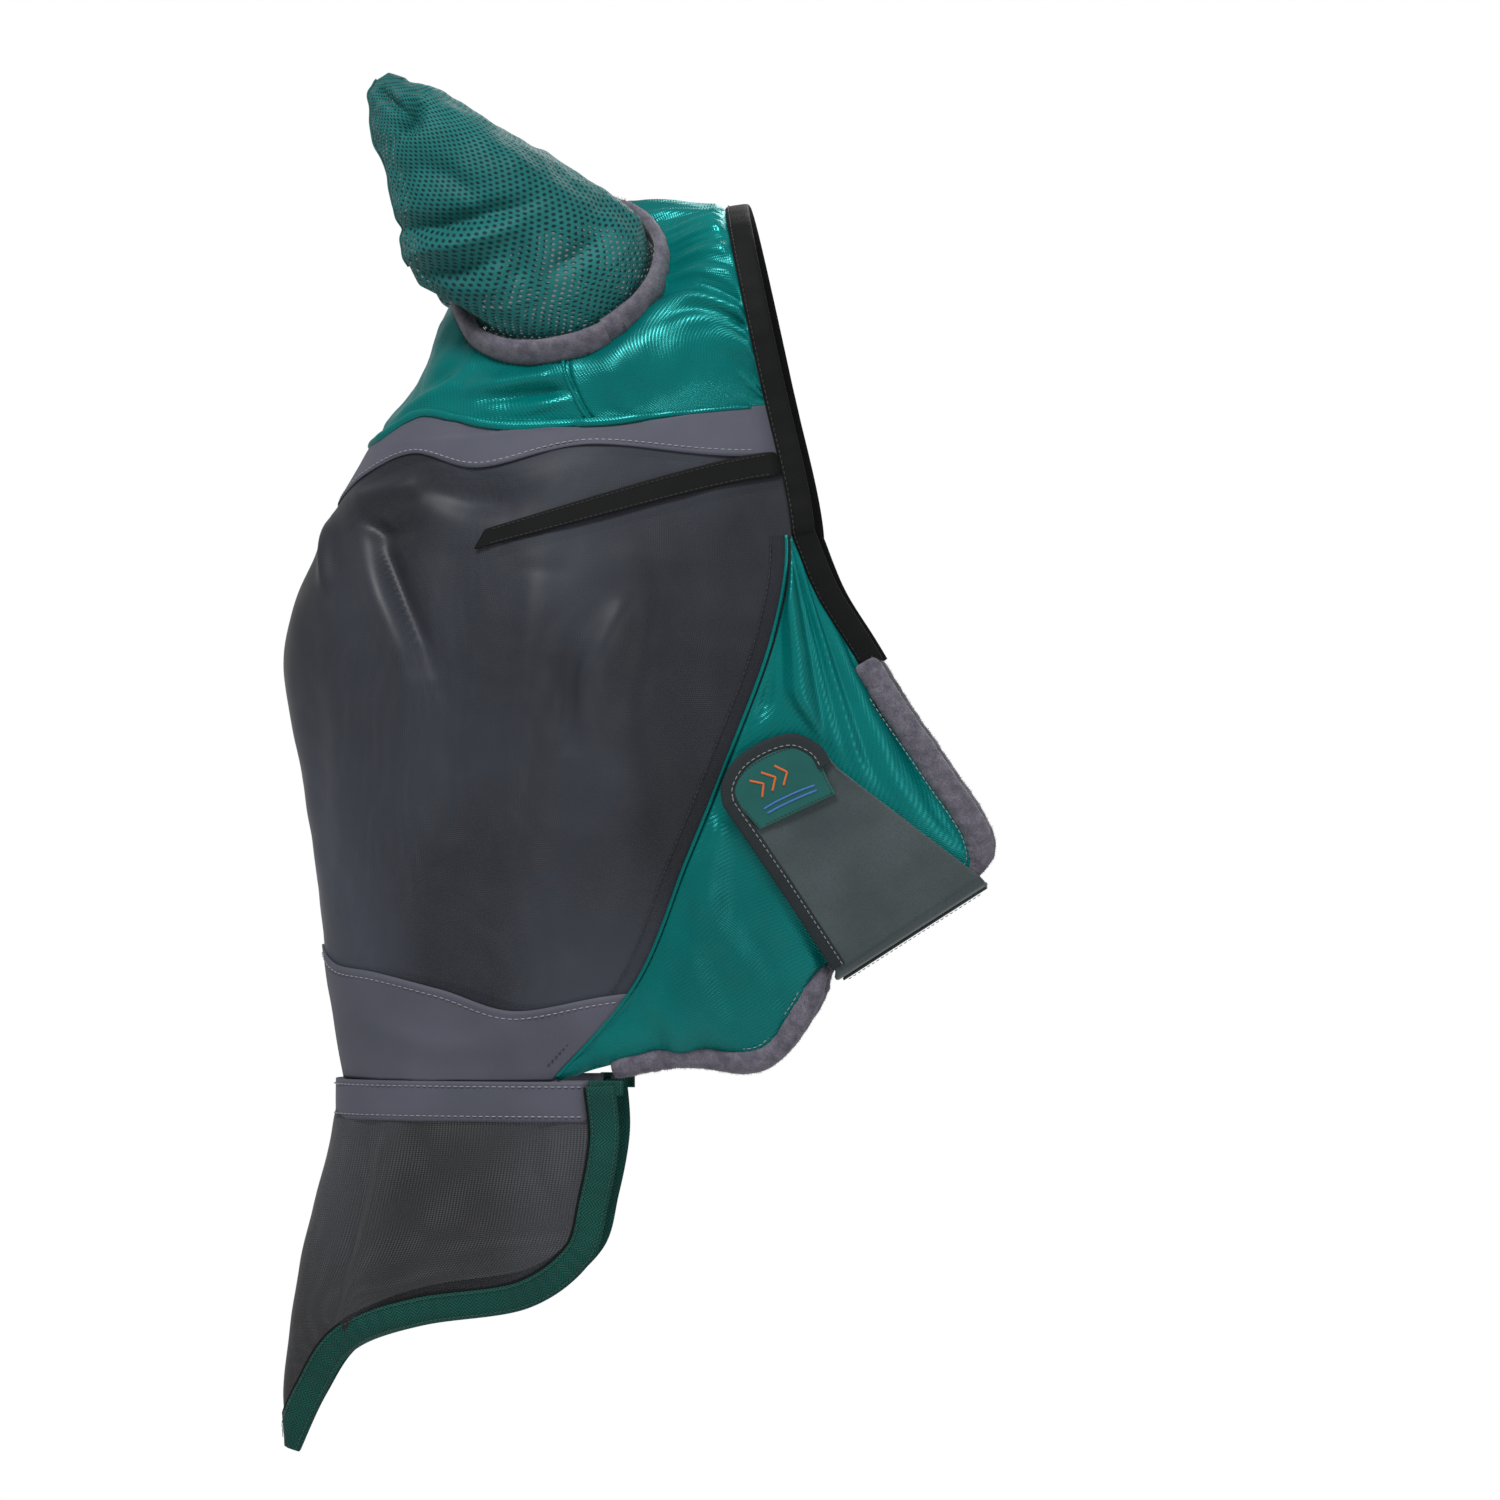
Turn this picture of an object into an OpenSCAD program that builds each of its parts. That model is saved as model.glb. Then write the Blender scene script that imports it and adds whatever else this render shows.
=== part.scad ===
// Horse fly mask with ear covers, touch-close jaw strap and detachable nose piece.
// Millimetres. +Z up, the face looks along -X, the wearer's left side is -Y.
// The origin is on the middle plane, just under the poll, where the head carries the mask.

/* [Fabric] */
// Thickness of the panel fabrics
panel_t = 1.2; // [1:0.1:2]
// Thickness of the touch-close tapes
tape_t = 1; // [0.8:0.1:1.2]
// Gap left along sewn seams
seam_gap = 0.3; // [0.2:0.05:0.5]

/* [Head] */
// Half width of the mask at the brow
brow_half = 94; // [90:1:96]
// How far the mesh stands out over the eye
eye_bulge = 14; // [8:1:18]
// Roundness of the crown, 2 is an ellipse and more is squarer
crown_power = 2.9; // [2.4:0.1:3.2]
// Roundness of the nose end
nose_power = 2.2; // [2:0.1:2.6]

/* [Edges] */
// Width of the black poll binding
binding_w = 13; // [10:1:15]
// Thickness of the black poll binding
binding_t = 2.4; // [2:0.1:3]
// Thickness of the rolled fleece along the throat
fleece_r = 6.5; // [5:0.5:7]
// Thickness of the rolled fleece along the jaw
jaw_fleece_r = 5.5; // [4:0.5:6]
// Width of the hem webbing on the nose piece
webbing_w = 15; // [12:1:20]

/* [Ears] */
// Radius of an ear cover where it passes its cuff
ear_r = 52; // [48:1:53]
// Inner radius of the fleece cuff around an ear
cuff_r = 54; // [54:0.5:56]
// Thickness of the fleece cuff
cuff_t = 6; // [4:0.5:7]
// Height of the fleece cuff
cuff_h = 17; // [12:1:18]

/* [Strap] */
// Thickness of the strap
strap_t = 2; // [1.5:0.1:2.5]
// Half the distance the strap spans under the jaw
strap_half = 67; // [66:0.5:69]
// Radius of the fold that the strap hinges on
fold_r = 1.4; // [1:0.1:1.6]

/* [Nose piece] */
// Height of the band that carries the nose piece
band_h = 22; // [18:1:24]

/* [Hidden] */
$fn = 32;

// Colours
teal = [0.02, 0.45, 0.43];
ear_green = [0.03, 0.38, 0.36];
webbing_green = [0.04, 0.30, 0.26];
fleece_grey = [0.42, 0.41, 0.46];
band_grey = [0.27, 0.28, 0.34];
strap_grey = [0.22, 0.25, 0.27];
mesh_black = [0.10, 0.11, 0.13];
black = [0.04, 0.05, 0.05];

// Side view outlines, [x, z]. Each is a smooth curve through its points.
// Middle line over the poll, from the binding to the brow seam
top_line = [[15, 10], [-11, 10], [-45, 6], [-80, -4], [-110, -28], [-135, -62], [-160, -92], [-180, -120]];
// Middle line down the face, from the brow seam to the nose band's edge
face_line = [[-180, -120], [-207, -170], [-229, -232], [-219, -300], [-211, -360], [-203, -420], [-195, -466]];
// Where the face panels end behind the eye, from the binding to the nose
seam_line = [[39, -100], [53, -170], [45, -225], [20, -291], [-3, -346], [-31, -412], [-77, -466]];
// Short edge at the binding that all the crown's rows run to
crown_foot = [[37, -92], [39, -100]];
// Outer edge of a cheek panel: binding, throat, strap, jaw and nose
cheek_line = [
    [53, -170], [66, -202], [84, -231], [103, -262], [128, -299], [150, -334], [146, -356],
    [108, -380], [70, -404], [55, -428], [34, -452], [-4, -450], [-38, -455], [-76, -466]
];
// Half widths along those lines
seam_half = [brow_half, brow_half + 2, 96, 90, 82, 70, 58];
bulge_share = [0.15, 0.75, 1, 0.8, 0.4, 0.1, 0];
cheek_half = [93, 89, 84, 79, 73, 67, 63, 61, 59, 55, 51, 51, 54, 58];
// Share of the way down the seam line where the cheek panel starts
cheek_start = 1 / 6;

// Seams across the face, as shares of the way down it, from the middle to the side
brow_edge = [0.115, 0.07, 0.035, 0.07, 0.045, 0.075];
nose_edge = [0.755, 0.785, 0.80, 0.83, 0.87, 0.85];

// Nose piece: middle line and hem, from the band to the point
muzzle_line = [[-197, -468], [-206, -512], [-217, -555], [-225, -598], [-229, -638], [-227, -672]];
hem_line = [
    [-44, -468], [-42, -498], [-48, -533], [-58, -565], [-92, -590], [-150, -600],
    [-188, -614], [-207, -641], [-221, -672]
];
hem_half = [60, 62, 60, 56, 48, 38, 24, 11, 2.5];

// Ear: where the cuff sits and how it faces, for the left side
ear_at = [-73, -46, -32];
ear_up = unit([-0.27, -0.68, 0.68]);
ear_fore = unit([0.945, 0, 0.327]);
ear_in = cross(ear_up, ear_fore);
// Front and back outlines of an ear cover, above its cuff
ear_front = [[-150, -33], [-161, -8], [-165, 20], [-173, 48], [-176, 66], [-171, 77]];
ear_back = [[-27, 1], [-48, 14], [-76, 33], [-110, 53], [-140, 71], [-156, 78]];
ear_depth = [44, 40, 33, 24, 13, 5];
ear_middle = [-66, -72, -77, -81, -84, -86];
// The crown fabric rises to the cuff within this distance of the ear's axis
ear_reach = [58, 100];
ear_level = -2;

// Strap: the fold under the left jaw, and the tab's sides up to its tip
fold_a = [76, -410];
fold_b = [157, -358];
tab_left = [[77.5, -408], [46, -359], [17, -316]];
tab_right = [[155, -355], [112, -322], [74, -293]];
tab_half = [68.6, 79, 89, 95];
tab_tip = [[17, -316], [16, -305], [24, -291], [40, -281], [55, -278], [68, -284], [74, -293]];
fold_clear = 2.4;

// ---------- curves and surfaces ----------

function unit(v) = v / norm(v);
function mix(a, b, f) = a + (b - a) * f;
function pick(list, k) = list[max(0, min(len(list) - 1, k))];
function steps(a, b, n) = [for (i = [0 : n]) mix(a, b, i / n)];

// The smooth curve through every point of a list, u from 0 to 1
function curve(p, u) =
    let (
        n = len(p) - 1,
        v = max(0, min(1, u)) * n,
        k = min(floor(v), n - 1),
        f = v - k,
        a = pick(p, k - 1), b = pick(p, k), c = pick(p, k + 1), d = pick(p, k + 2)
    )
    0.5 * (2 * b + (c - a) * f + (2 * a - 5 * b + 4 * c - d) * f * f + (3 * b - a - 3 * c + d) * f * f * f);

// A point [x, y, z] from a side view point and a half width on side -1 or 1
function placed(p, half, side) = [p[0], side * half, p[1]];

// The hood: s runs -1 at the poll, 0 at the brow and 1 at the nose; t runs -1 left to 1 right
function hood_middle(s) = s < 0 ? curve(top_line, s + 1) : curve(face_line, s);
function hood_side(s) = s < 0 ? mix(crown_foot[0], crown_foot[1], s + 1) : curve(seam_line, s);
function hood_half(s) = s < 0 ? brow_half : curve(seam_half, s);
function hood_bulge(s) = s < 0 ? 0 : eye_bulge * curve(bulge_share, s);
function hood_power(s) = s < 0 ? crown_power : mix(crown_power, nose_power, s);
function hood_plain(s, t, out) =
    let (
        middle = hood_middle(s),
        end = hood_side(s),
        side = t < 0 ? -1 : 1,
        angle = 90 * abs(t),
        share = 1 - pow(cos(angle), 2 / hood_power(s)),
        half = hood_half(s) * pow(sin(angle), 2 / hood_power(s)) + hood_bulge(s) * pow(sin(180 * share), 2),
        ahead = unit(middle - end) * cos(angle) * out
    )
    placed(mix(middle, end, share) + ahead, half + sin(angle) * out, side);

// The same surface, drawn up to the level of the cuffs around the ears
function hood(s, t, out = 0) =
    let (
        p = hood_plain(s, t, out),
        from = [p[0], -abs(p[1]), p[2]] - ear_at,
        level = from * ear_up,
        far = norm(from - level * ear_up),
        f = max(0, min(1, (ear_reach[1] - far) / (ear_reach[1] - ear_reach[0]))),
        rise = s > 0 ? 0 : (ear_level + out - level) * f * f * (3 - 2 * f) * min(1, -s * 4),
        spread = min(1, abs(p[1]) / 30) * (p[1] < 0 ? 1 : -1)
    )
    p + rise * [ear_up[0], ear_up[1] * spread, ear_up[2]];

// A cheek: v runs down its edge from the binding to the nose, q from the seam to the edge
function cheek_seam(v) = cheek_start + (1 - cheek_start) * v;
function cheek(v, q, side, out = 0) =
    let (s = cheek_seam(v), from = hood_half(s), to = curve(cheek_half, v))
    placed(mix(hood_side(s), curve(cheek_line, v), q), mix(from, to, q * q) + out, side);

// The nose piece: w runs down from its band to the point, t from -1 left to 1 right
function muzzle_power(w) = mix(nose_power, 1.7, w);
function muzzle(w, t, out = 0) =
    let (
        middle = curve(muzzle_line, w),
        end = curve(hem_line, w),
        angle = 90 * abs(t),
        power = muzzle_power(w),
        share = 1 - pow(cos(angle), 2 / power),
        half = curve(hem_half, w) * pow(sin(angle), 2 / power),
        ahead = unit(middle - end) * cos(angle) * out
    )
    placed(mix(middle, end, share) + ahead, half + sin(angle) * out, t < 0 ? -1 : 1);

// The band around the nose: z height, upright sides
function nose_wall(z, t, out) =
    let (
        angle = 90 * abs(t),
        share = 1 - pow(cos(angle), 2 / nose_power),
        x = mix(-196, -47, share) - cos(angle) * out,
        half = 58.5 * pow(sin(angle), 2 / nose_power) + sin(angle) * out
    )
    [x, (t < 0 ? -1 : 1) * half, z];

// ---------- solids ----------

// A closed sheet between two grids of points with the same rows and columns
module sheet(over, under) {
    rows = len(over);
    cols = len(over[0]);
    all = concat([for (r = over) each r], [for (r = under) each r]);
    function id(k, r, c) = k * rows * cols + r * cols + c;
    polyhedron(points = all, faces = concat(
        [for (r = [0 : rows - 2], c = [0 : cols - 2]) each [
            [id(0, r, c), id(0, r, c + 1), id(0, r + 1, c)],
            [id(0, r, c + 1), id(0, r + 1, c + 1), id(0, r + 1, c)],
            [id(1, r, c), id(1, r + 1, c), id(1, r, c + 1)],
            [id(1, r, c + 1), id(1, r + 1, c), id(1, r + 1, c + 1)]]],
        [for (r = [0 : rows - 2]) each [
            [id(0, r, 0), id(0, r + 1, 0), id(1, r, 0)],
            [id(0, r + 1, 0), id(1, r + 1, 0), id(1, r, 0)],
            [id(0, r, cols - 1), id(1, r, cols - 1), id(0, r + 1, cols - 1)],
            [id(0, r + 1, cols - 1), id(1, r, cols - 1), id(1, r + 1, cols - 1)]]],
        [for (c = [0 : cols - 2]) each [
            [id(0, 0, c), id(1, 0, c), id(0, 0, c + 1)],
            [id(0, 0, c + 1), id(1, 0, c), id(1, 0, c + 1)],
            [id(0, rows - 1, c), id(0, rows - 1, c + 1), id(1, rows - 1, c)],
            [id(0, rows - 1, c + 1), id(1, rows - 1, c + 1), id(1, rows - 1, c)]]]
    ));
}

// A closed tube through rings of points, with flat ends
module tube(rings) {
    n = len(rings);
    m = len(rings[0]);
    polyhedron(points = [for (r = rings) each r], faces = concat(
        [for (i = [0 : n - 2], j = [0 : m - 1]) let (k = (j + 1) % m) each [
            [i * m + j, (i + 1) * m + j, i * m + k],
            [i * m + k, (i + 1) * m + j, (i + 1) * m + k]]],
        [for (j = [1 : m - 2]) [0, j, j + 1]],
        [for (j = [1 : m - 2]) [(n - 1) * m, (n - 1) * m + j + 1, (n - 1) * m + j]]
    ));
}

// A cup from rings of points: outer rings up to a closed top, inner rings the same way
module cup(outer, inner) {
    n = len(outer);
    m = len(outer[0]);
    function ring(k, i, j) = (k * n + i) * m + (j % m);
    function top(k) = 2 * n * m + k;
    polyhedron(
        points = concat(
            [for (r = outer) each r], [for (r = inner) each r],
            [for (r = [outer[n - 1], inner[n - 1]]) [for (k = [0 : 2]) [for (p = r) p[k]] * [for (p = r) 1 / m]]]
        ),
        faces = concat(
            [for (i = [0 : n - 2], j = [0 : m - 1]) each [
                [ring(0, i, j), ring(0, i + 1, j), ring(0, i, j + 1)],
                [ring(0, i, j + 1), ring(0, i + 1, j), ring(0, i + 1, j + 1)],
                [ring(1, i, j), ring(1, i, j + 1), ring(1, i + 1, j)],
                [ring(1, i, j + 1), ring(1, i + 1, j + 1), ring(1, i + 1, j)]]],
            [for (j = [0 : m - 1]) each [
                [top(0), ring(0, n - 1, j + 1), ring(0, n - 1, j)],
                [top(1), ring(1, n - 1, j), ring(1, n - 1, j + 1)],
                [ring(0, 0, j), ring(0, 0, j + 1), ring(1, 0, j)],
                [ring(0, 0, j + 1), ring(1, 0, j + 1), ring(1, 0, j)]]]
        )
    );
}

// A round bead of radius r along a line of points
module bead(line, r, sides = 8) {
    last = len(line) - 1;
    tube([for (i = [0 : last])
        let (
            ahead = unit(line[min(i + 1, last)] - line[max(i - 1, 0)]),
            a = unit(cross(ahead, [0.1, 0.9, 0.3])),
            b = cross(ahead, a)
        )
        [for (j = [0 : sides - 1]) line[i] + r * (a * cos(360 * j / sides) + b * sin(360 * j / sides))]]);
}

// A panel of the hood between two seams, given as lists of shares for each column
module hood_panel(top, bottom, columns, rows, from = 0, to = panel_t) {
    function grid(out) = [for (r = [0 : rows]) [for (i = [0 : len(columns) - 1])
        hood(mix(top[i], bottom[i], r / rows), columns[i], out)]];
    sheet(grid(from), grid(to));
}

function same(value, columns) = [for (c = columns) value];
function edge_at(edge, columns) = [for (c = columns) curve(edge, abs(c))];

// Placement whose Z axis is the left ear's turning axis
function ear_frame() = [
    [ear_fore[0], ear_in[0], ear_up[0], ear_at[0]],
    [ear_fore[1], ear_in[1], ear_up[1], ear_at[1]],
    [ear_fore[2], ear_in[2], ear_up[2], ear_at[2]],
    [0, 0, 0, 1]
];

// Children drawn for the left side, mirrored for the right
module for_side(side) {
    if (side < 0) children();
    else mirror([0, 1, 0]) children();
}

module ear_hole(side) {
    for_side(side) multmatrix(ear_frame()) translate([0, 0, -24]) cylinder(r = cuff_r + cuff_t + 0.1, h = 60);
}

// ---------- crown ----------

crown_split = -0.504;
gather_from = 0.74;
seam_step = seam_gap / 200;
crown_columns = steps(-gather_from + 0.006, gather_from - 0.006, 18);
poll_columns = concat(steps(-1, -gather_from, 4), crown_columns, steps(gather_from, 1, 4));

module crown_panel() {
    color(teal) difference() {
        hood_panel(same(crown_split + seam_step, crown_columns), same(-seam_step, crown_columns), crown_columns, 7);
        ear_hole(-1);
        ear_hole(1);
    }
}

// The gathered panel: over the poll and down both sides behind the crown panel
module poll_panel() {
    bottom = [for (t = poll_columns) abs(t) < gather_from ? crown_split - seam_step : -seam_step];
    color(teal) difference() {
        hood_panel(same(-1, poll_columns), bottom, poll_columns, 8);
        ear_hole(-1);
        ear_hole(1);
    }
}

// The fleece cuff that binds an ear hole
module ear_cuff(side) {
    round_r = cuff_t / 2;
    color(fleece_grey) for_side(side) multmatrix(ear_frame()) translate([0, 0, -5]) rotate_extrude() union() {
        translate([cuff_r, round_r]) square([cuff_t, cuff_h - cuff_t]);
        translate([cuff_r + round_r, round_r]) circle(r = round_r);
        translate([cuff_r + round_r, cuff_h - round_r]) circle(r = round_r);
    }
}

// ---------- ear covers ----------

// One ring of an ear cover: a circle inside the cuff, then ovals up to the tip
function cuff_ring(height, r) = [for (j = [0 : 19])
    ear_at + ear_up * height + r * (ear_fore * cos(18 * j) + ear_in * sin(18 * j))];
function cone_ring(u, inset) =
    let (
        front = curve(ear_front, u),
        back = curve(ear_back, u),
        middle = placed((front + back) / 2, -curve(ear_middle, u), -1),
        long = placed((back - front) / 2, 0, 1),
        deep = curve(ear_depth, u) * unit(mix(ear_in, [0, 1, 0], u))
    )
    [for (j = [0 : 19])
        let (ray = long * cos(18 * j) + deep * sin(18 * j)) middle + ray * (1 - inset / norm(ray))];
function ear_rings(inset, last) = concat(
    [for (height = [-3, 14]) cuff_ring(height, ear_r - inset)],
    [for (u = concat(steps(0, 0.875, 7), [last])) cone_ring(u, inset)]
);

module ear_cover(side) {
    color(ear_green) for_side(side) cup(ear_rings(0, 1), ear_rings(panel_t, 0.94));
}

// ---------- face ----------

face_columns = steps(-1, 1, 26);
function edge_at(edge, step) = [for (c = face_columns) curve(edge, abs(c)) + step];

module brow_band() {
    color(band_grey)
        hood_panel(same(seam_step, face_columns), edge_at(brow_edge, -seam_step), face_columns, 2);
}

module eye_mesh() {
    color(mesh_black)
        hood_panel(edge_at(brow_edge, seam_step), edge_at(nose_edge, -seam_step), face_columns, 12);
}

module nose_band() {
    color(band_grey)
        hood_panel(edge_at(nose_edge, seam_step), same(1, face_columns), face_columns, 4);
}

// The hem below the nose band: an upright strip behind the band of the nose piece
module nose_hem() {
    color(band_grey) wall(-466.4, -484, -0.2, panel_t - 0.2);
}

// An upright strip round the nose, from height z0 down to z1
module wall(z0, z1, from, to, reach = 0.97) {
    columns = steps(-reach, reach, 22);
    function strip(out) = [for (z = [z0, z1]) [for (t = columns) nose_wall(z, t, out)]];
    sheet(strip(from), strip(to));
}

// The black tape that closes the dart over the eye: where it starts and ends, as [s, t]
dart_from = [0.087, 0.99];
dart_to = [0.175, 0.63];
dart_wide = 0.028;
module eye_dart(side) {
    function grid(out) = [for (i = [0 : 16])
        let (s = mix(dart_from[0], dart_to[0], i / 16), t = mix(dart_from[1], dart_to[1], i / 16))
        [for (r = [-0.5, 0, 0.5]) hood(s - dart_wide * r, -t, out)]];
    color(black) for_side(side) sheet(grid(panel_t + 0.8), grid(panel_t + 1.7));
}

// How far round the arch a share of its side view lies
function hood_t(share, power) = acos(pow(1 - share, power / 2)) / 90;

// The folded hem of the mesh, inside and along the cheek seam
module seam_tape(side) {
    // The place on row s a distance d from the seam in the side view
    function inset(s, d) =
        hood_t(1 - d / norm(hood_middle(s) - hood_side(s)), hood_power(s));
    function grid(out) = [for (i = [0 : 18])
        let (s = mix(cheek_start, 0.985, i / 18)) [for (d = [0.3, 6, 12]) hood(s, -inset(s, d), out)]];
    color(black) for_side(side) sheet(grid(-1.5), grid(-0.6));
}

module cheek_panel(side) {
    function grid(out) = [for (i = [0 : 26])
        let (v = mix(0.01, 0.985, i / 26)) [for (k = [0 : 5]) cheek(v, mix(0.006, 1, k / 5), -1, out)]];
    color(teal) for_side(side) sheet(grid(panel_t), grid(0));
}

// ---------- edges ----------

// The line that the black binding is sewn along: up the left cheek, over the poll, down the right
function binding_side(side) = concat(
    [for (v = steps(0.185, 0, 4)) cheek(v, 1, side)],
    [for (s = steps(cheek_start, 0, 4)) if (s < cheek_start) placed(curve(seam_line, s), curve(seam_half, s), side)]
);
function reversed(list) = [for (i = [len(list) - 1 : -1 : 0]) list[i]];
function binding_path() = concat(
    binding_side(-1), [for (t = steps(-0.99, 0.99, 24)) hood(-1, t)], reversed(binding_side(1)));

module poll_binding() {
    path = binding_path();
    last = len(path) - 1;
    back = unit([0.985, 0, 0.17]);
    frames = [for (i = [0 : last])
        let (
            ahead = unit(path[min(i + 1, last)] - path[max(i - 1, 0)]),
            out = unit(cross(back, ahead)),
            along = unit(back - ahead * (back * ahead)),
            foot = path[i] + along * 0.4 + out * panel_t / 2
        )
        [foot, along, out]];
    color(black) tube([for (f = frames) [
        f[0] - f[2] * binding_t / 2, f[0] + f[2] * binding_t / 2,
        f[0] + f[1] * binding_w + f[2] * binding_t / 2, f[0] + f[1] * binding_w - f[2] * binding_t / 2
    ]]);
}

// Outward direction of the cheek edge in side view
function cheek_out(v) =
    let (along = unit(curve(cheek_line, v + 0.01) - curve(cheek_line, v - 0.01))) [-along[1], along[0]];

// A fleece roll along the edge of the cheek, from share v0 to v1
module cheek_roll(side, v0, v1, r, n) {
    line = [for (v = steps(v0, v1, n))
        placed(curve(cheek_line, v) + cheek_out(v) * (r + 0.6), curve(cheek_half, v) + panel_t / 2, -1)];
    color(fleece_grey) for_side(side) bead(line, r);
}

module throat_fleece(side) { cheek_roll(side, 0.205, 0.42, fleece_r, 14); }
module jaw_fleece(side) { cheek_roll(side, 0.65, 0.93, jaw_fleece_r, 14); }

// ---------- strap ----------

fold_along = unit(fold_b - fold_a);
fold_length = norm(fold_b - fold_a);

// The strap lying on the cheek: f runs up from the fold to the tip, q across it
function tab_flat(f, q) =
    mix(curve(tab_left, f), curve(tab_right, f), q)
    + pow(f, 3) * (curve(tab_tip, q) - mix(tab_tip[0], tab_tip[len(tab_tip) - 1], q));
function tab(f, q, out = 0) = placed(tab_flat(f, q), curve(tab_half, f) + out, -1);
module tab_sheet(side, f0, f1, q0, q1, from, to, rows = 10) {
    function grid(out) = [for (f = steps(f0, f1, rows)) [for (q = steps(q0, q1, 8)) tab(f, q, out)]];
    for_side(side) sheet(grid(from), grid(to));
}

// Placement with X along the fold, Y across the jaw and Z up towards it
module at_fold() {
    multmatrix([
        [fold_along[0], 0, -fold_along[1], fold_a[0]],
        [0, 1, 0, 0],
        [fold_along[1], 0, fold_along[0], fold_a[1]],
        [0, 0, 0, 1]
    ]) children();
}

module strap_fold_roll(side) {
    color(strap_grey) at_fold() translate([0, side * strap_half, 0]) rotate([0, 90, 0])
        cylinder(r = fold_r, h = fold_length);
}

module strap_root() { color(strap_grey) tab_sheet(1, 0.02, 0.26, 0.01, 0.99, 0, strap_t, 4); }
module strap_root_fold() { strap_fold_roll(1); }
module strap_fold() { strap_fold_roll(-1); }
module strap_span() {
    left = -strap_half + fold_r + 0.1;
    right = strap_half - fold_clear;
    color(strap_grey) at_fold() translate([0, left, -strap_t / 2]) cube([fold_length, right - left, strap_t]);
}
module strap_tab() { color(strap_grey) tab_sheet(-1, 0.02, 1, 0, 1, 0, strap_t); }
module hook_pad() { color(black) tab_sheet(-1, 0.45, 0.9, 0.12, 0.88, -0.1 - tape_t, -0.1); }
module loop_patch() { color(black) tab_sheet(-1, 0.12, 0.9, 0.04, 0.96, -0.48 - 2 * tape_t, -0.48 - tape_t); }
module label_patch() { color(teal) tab_sheet(-1, 0.72, 0.91, 0.14, 0.9, strap_t + 0.1, strap_t + 0.9, 4); }

// Bound edge up the left of the tab and round its tip
module strap_edging() {
    function grid(out) = concat(
        [for (f = steps(0.06, 0.9, 8)) [tab(f, 0, out), tab(f, 0.08, out)]],
        [for (q = steps(0.06, 1, 9)) [tab(1, q, out), tab(0.94, q, out)]]
    );
    color(black) sheet(grid(strap_t + 0.1), grid(strap_t + 0.8));
}

// ---------- nose piece ----------

module nose_loop_tape() { color(black) wall(-469, -483, panel_t - 0.1, panel_t - 0.1 + tape_t, 0.94); }
module nose_hook_tape() { color(black) wall(-469, -483, panel_t + 1.3, panel_t + 1.3 + tape_t, 0.94); }
module nose_piece_band() {
    color(band_grey) wall(-466.4, -466.4 - band_h, panel_t + 1.5 + tape_t, 2 * panel_t + 1.5 + tape_t);
}

module nose_mesh() {
    columns = steps(-1, 1, 20);
    function grid(out) = [for (w = steps(0.11, 1, 12)) [for (t = columns) muzzle(w, t, out)]];
    color(mesh_black) sheet(grid(0), grid(panel_t));
}

// The share w of the row of the nose piece that passes through a side view point
function row_side(w, p) =
    let (m = curve(muzzle_line, w), e = curve(hem_line, w) - m) e[0] * (p[1] - m[1]) - e[1] * (p[0] - m[0]);
function row_of(p, low = 0, high = 1, n = 10) =
    let (half = (low + high) / 2)
    n == 0 ? half : row_side(half, p) > 0 ? row_of(p, low, half, n - 1) : row_of(p, half, high, n - 1);
function drape(p, out) =
    let (
        w = row_of(p),
        m = curve(muzzle_line, w),
        e = curve(hem_line, w) - m,
        share = max(0.002, min(1, (p - m) * e / (e * e)))
    )
    muzzle(w, -hood_t(share, muzzle_power(w)), out);

// Each webbing runs down one side of the hem to the point
module hem_webbing(side) {
    function inner(w) =
        let (along = unit(curve(hem_line, min(1, w + 0.01)) - curve(hem_line, w - 0.01)))
        curve(hem_line, w) + webbing_w * [along[1], -along[0]];
    function grid(out) = [for (w = steps(0.09, 0.94, 20))
        [for (c = steps(0, 1, 4)) drape(mix(curve(hem_line, w), inner(w), c), out)]];
    color(webbing_green) for_side(side) sheet(grid(panel_t + 1.6), grid(panel_t + 2.7));
}

module webbing_tab(side) {
    color(webbing_green) for_side(side)
        translate([-58, -66, -474]) cube([19, 1.2, 8]);
}

// ---------- the part ----------

crown_panel();
poll_panel();
brow_band();
eye_mesh();
nose_band();
nose_hem();
cheek_panel(-1);  // cheek_panel_left
cheek_panel(1);  // cheek_panel_right
eye_dart(-1);  // eye_dart_left
eye_dart(1);  // eye_dart_right
seam_tape(-1);  // seam_tape_left
seam_tape(1);  // seam_tape_right
poll_binding();
ear_cuff(-1);  // ear_cuff_left
ear_cuff(1);  // ear_cuff_right
throat_fleece(-1);  // throat_fleece_left
throat_fleece(1);  // throat_fleece_right
jaw_fleece(-1);  // jaw_fleece_left
jaw_fleece(1);  // jaw_fleece_right
loop_patch();
nose_loop_tape();
strap_root();
strap_root_fold();
strap_span();
strap_fold();
strap_tab();
hook_pad();
label_patch();
strap_edging();
nose_piece_band();
nose_hook_tape();
nose_mesh();
hem_webbing(-1);  // hem_webbing_left
hem_webbing(1);  // hem_webbing_right
webbing_tab(-1);  // webbing_tab_left
webbing_tab(1);  // webbing_tab_right
ear_cover(-1);  // ear_cover_left
ear_cover(1);  // ear_cover_right
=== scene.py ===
"""Horse fly mask: cloth, mesh, fleece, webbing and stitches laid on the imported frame."""
import math
import random

import bpy
import numpy as np
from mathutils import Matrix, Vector, noise


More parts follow.
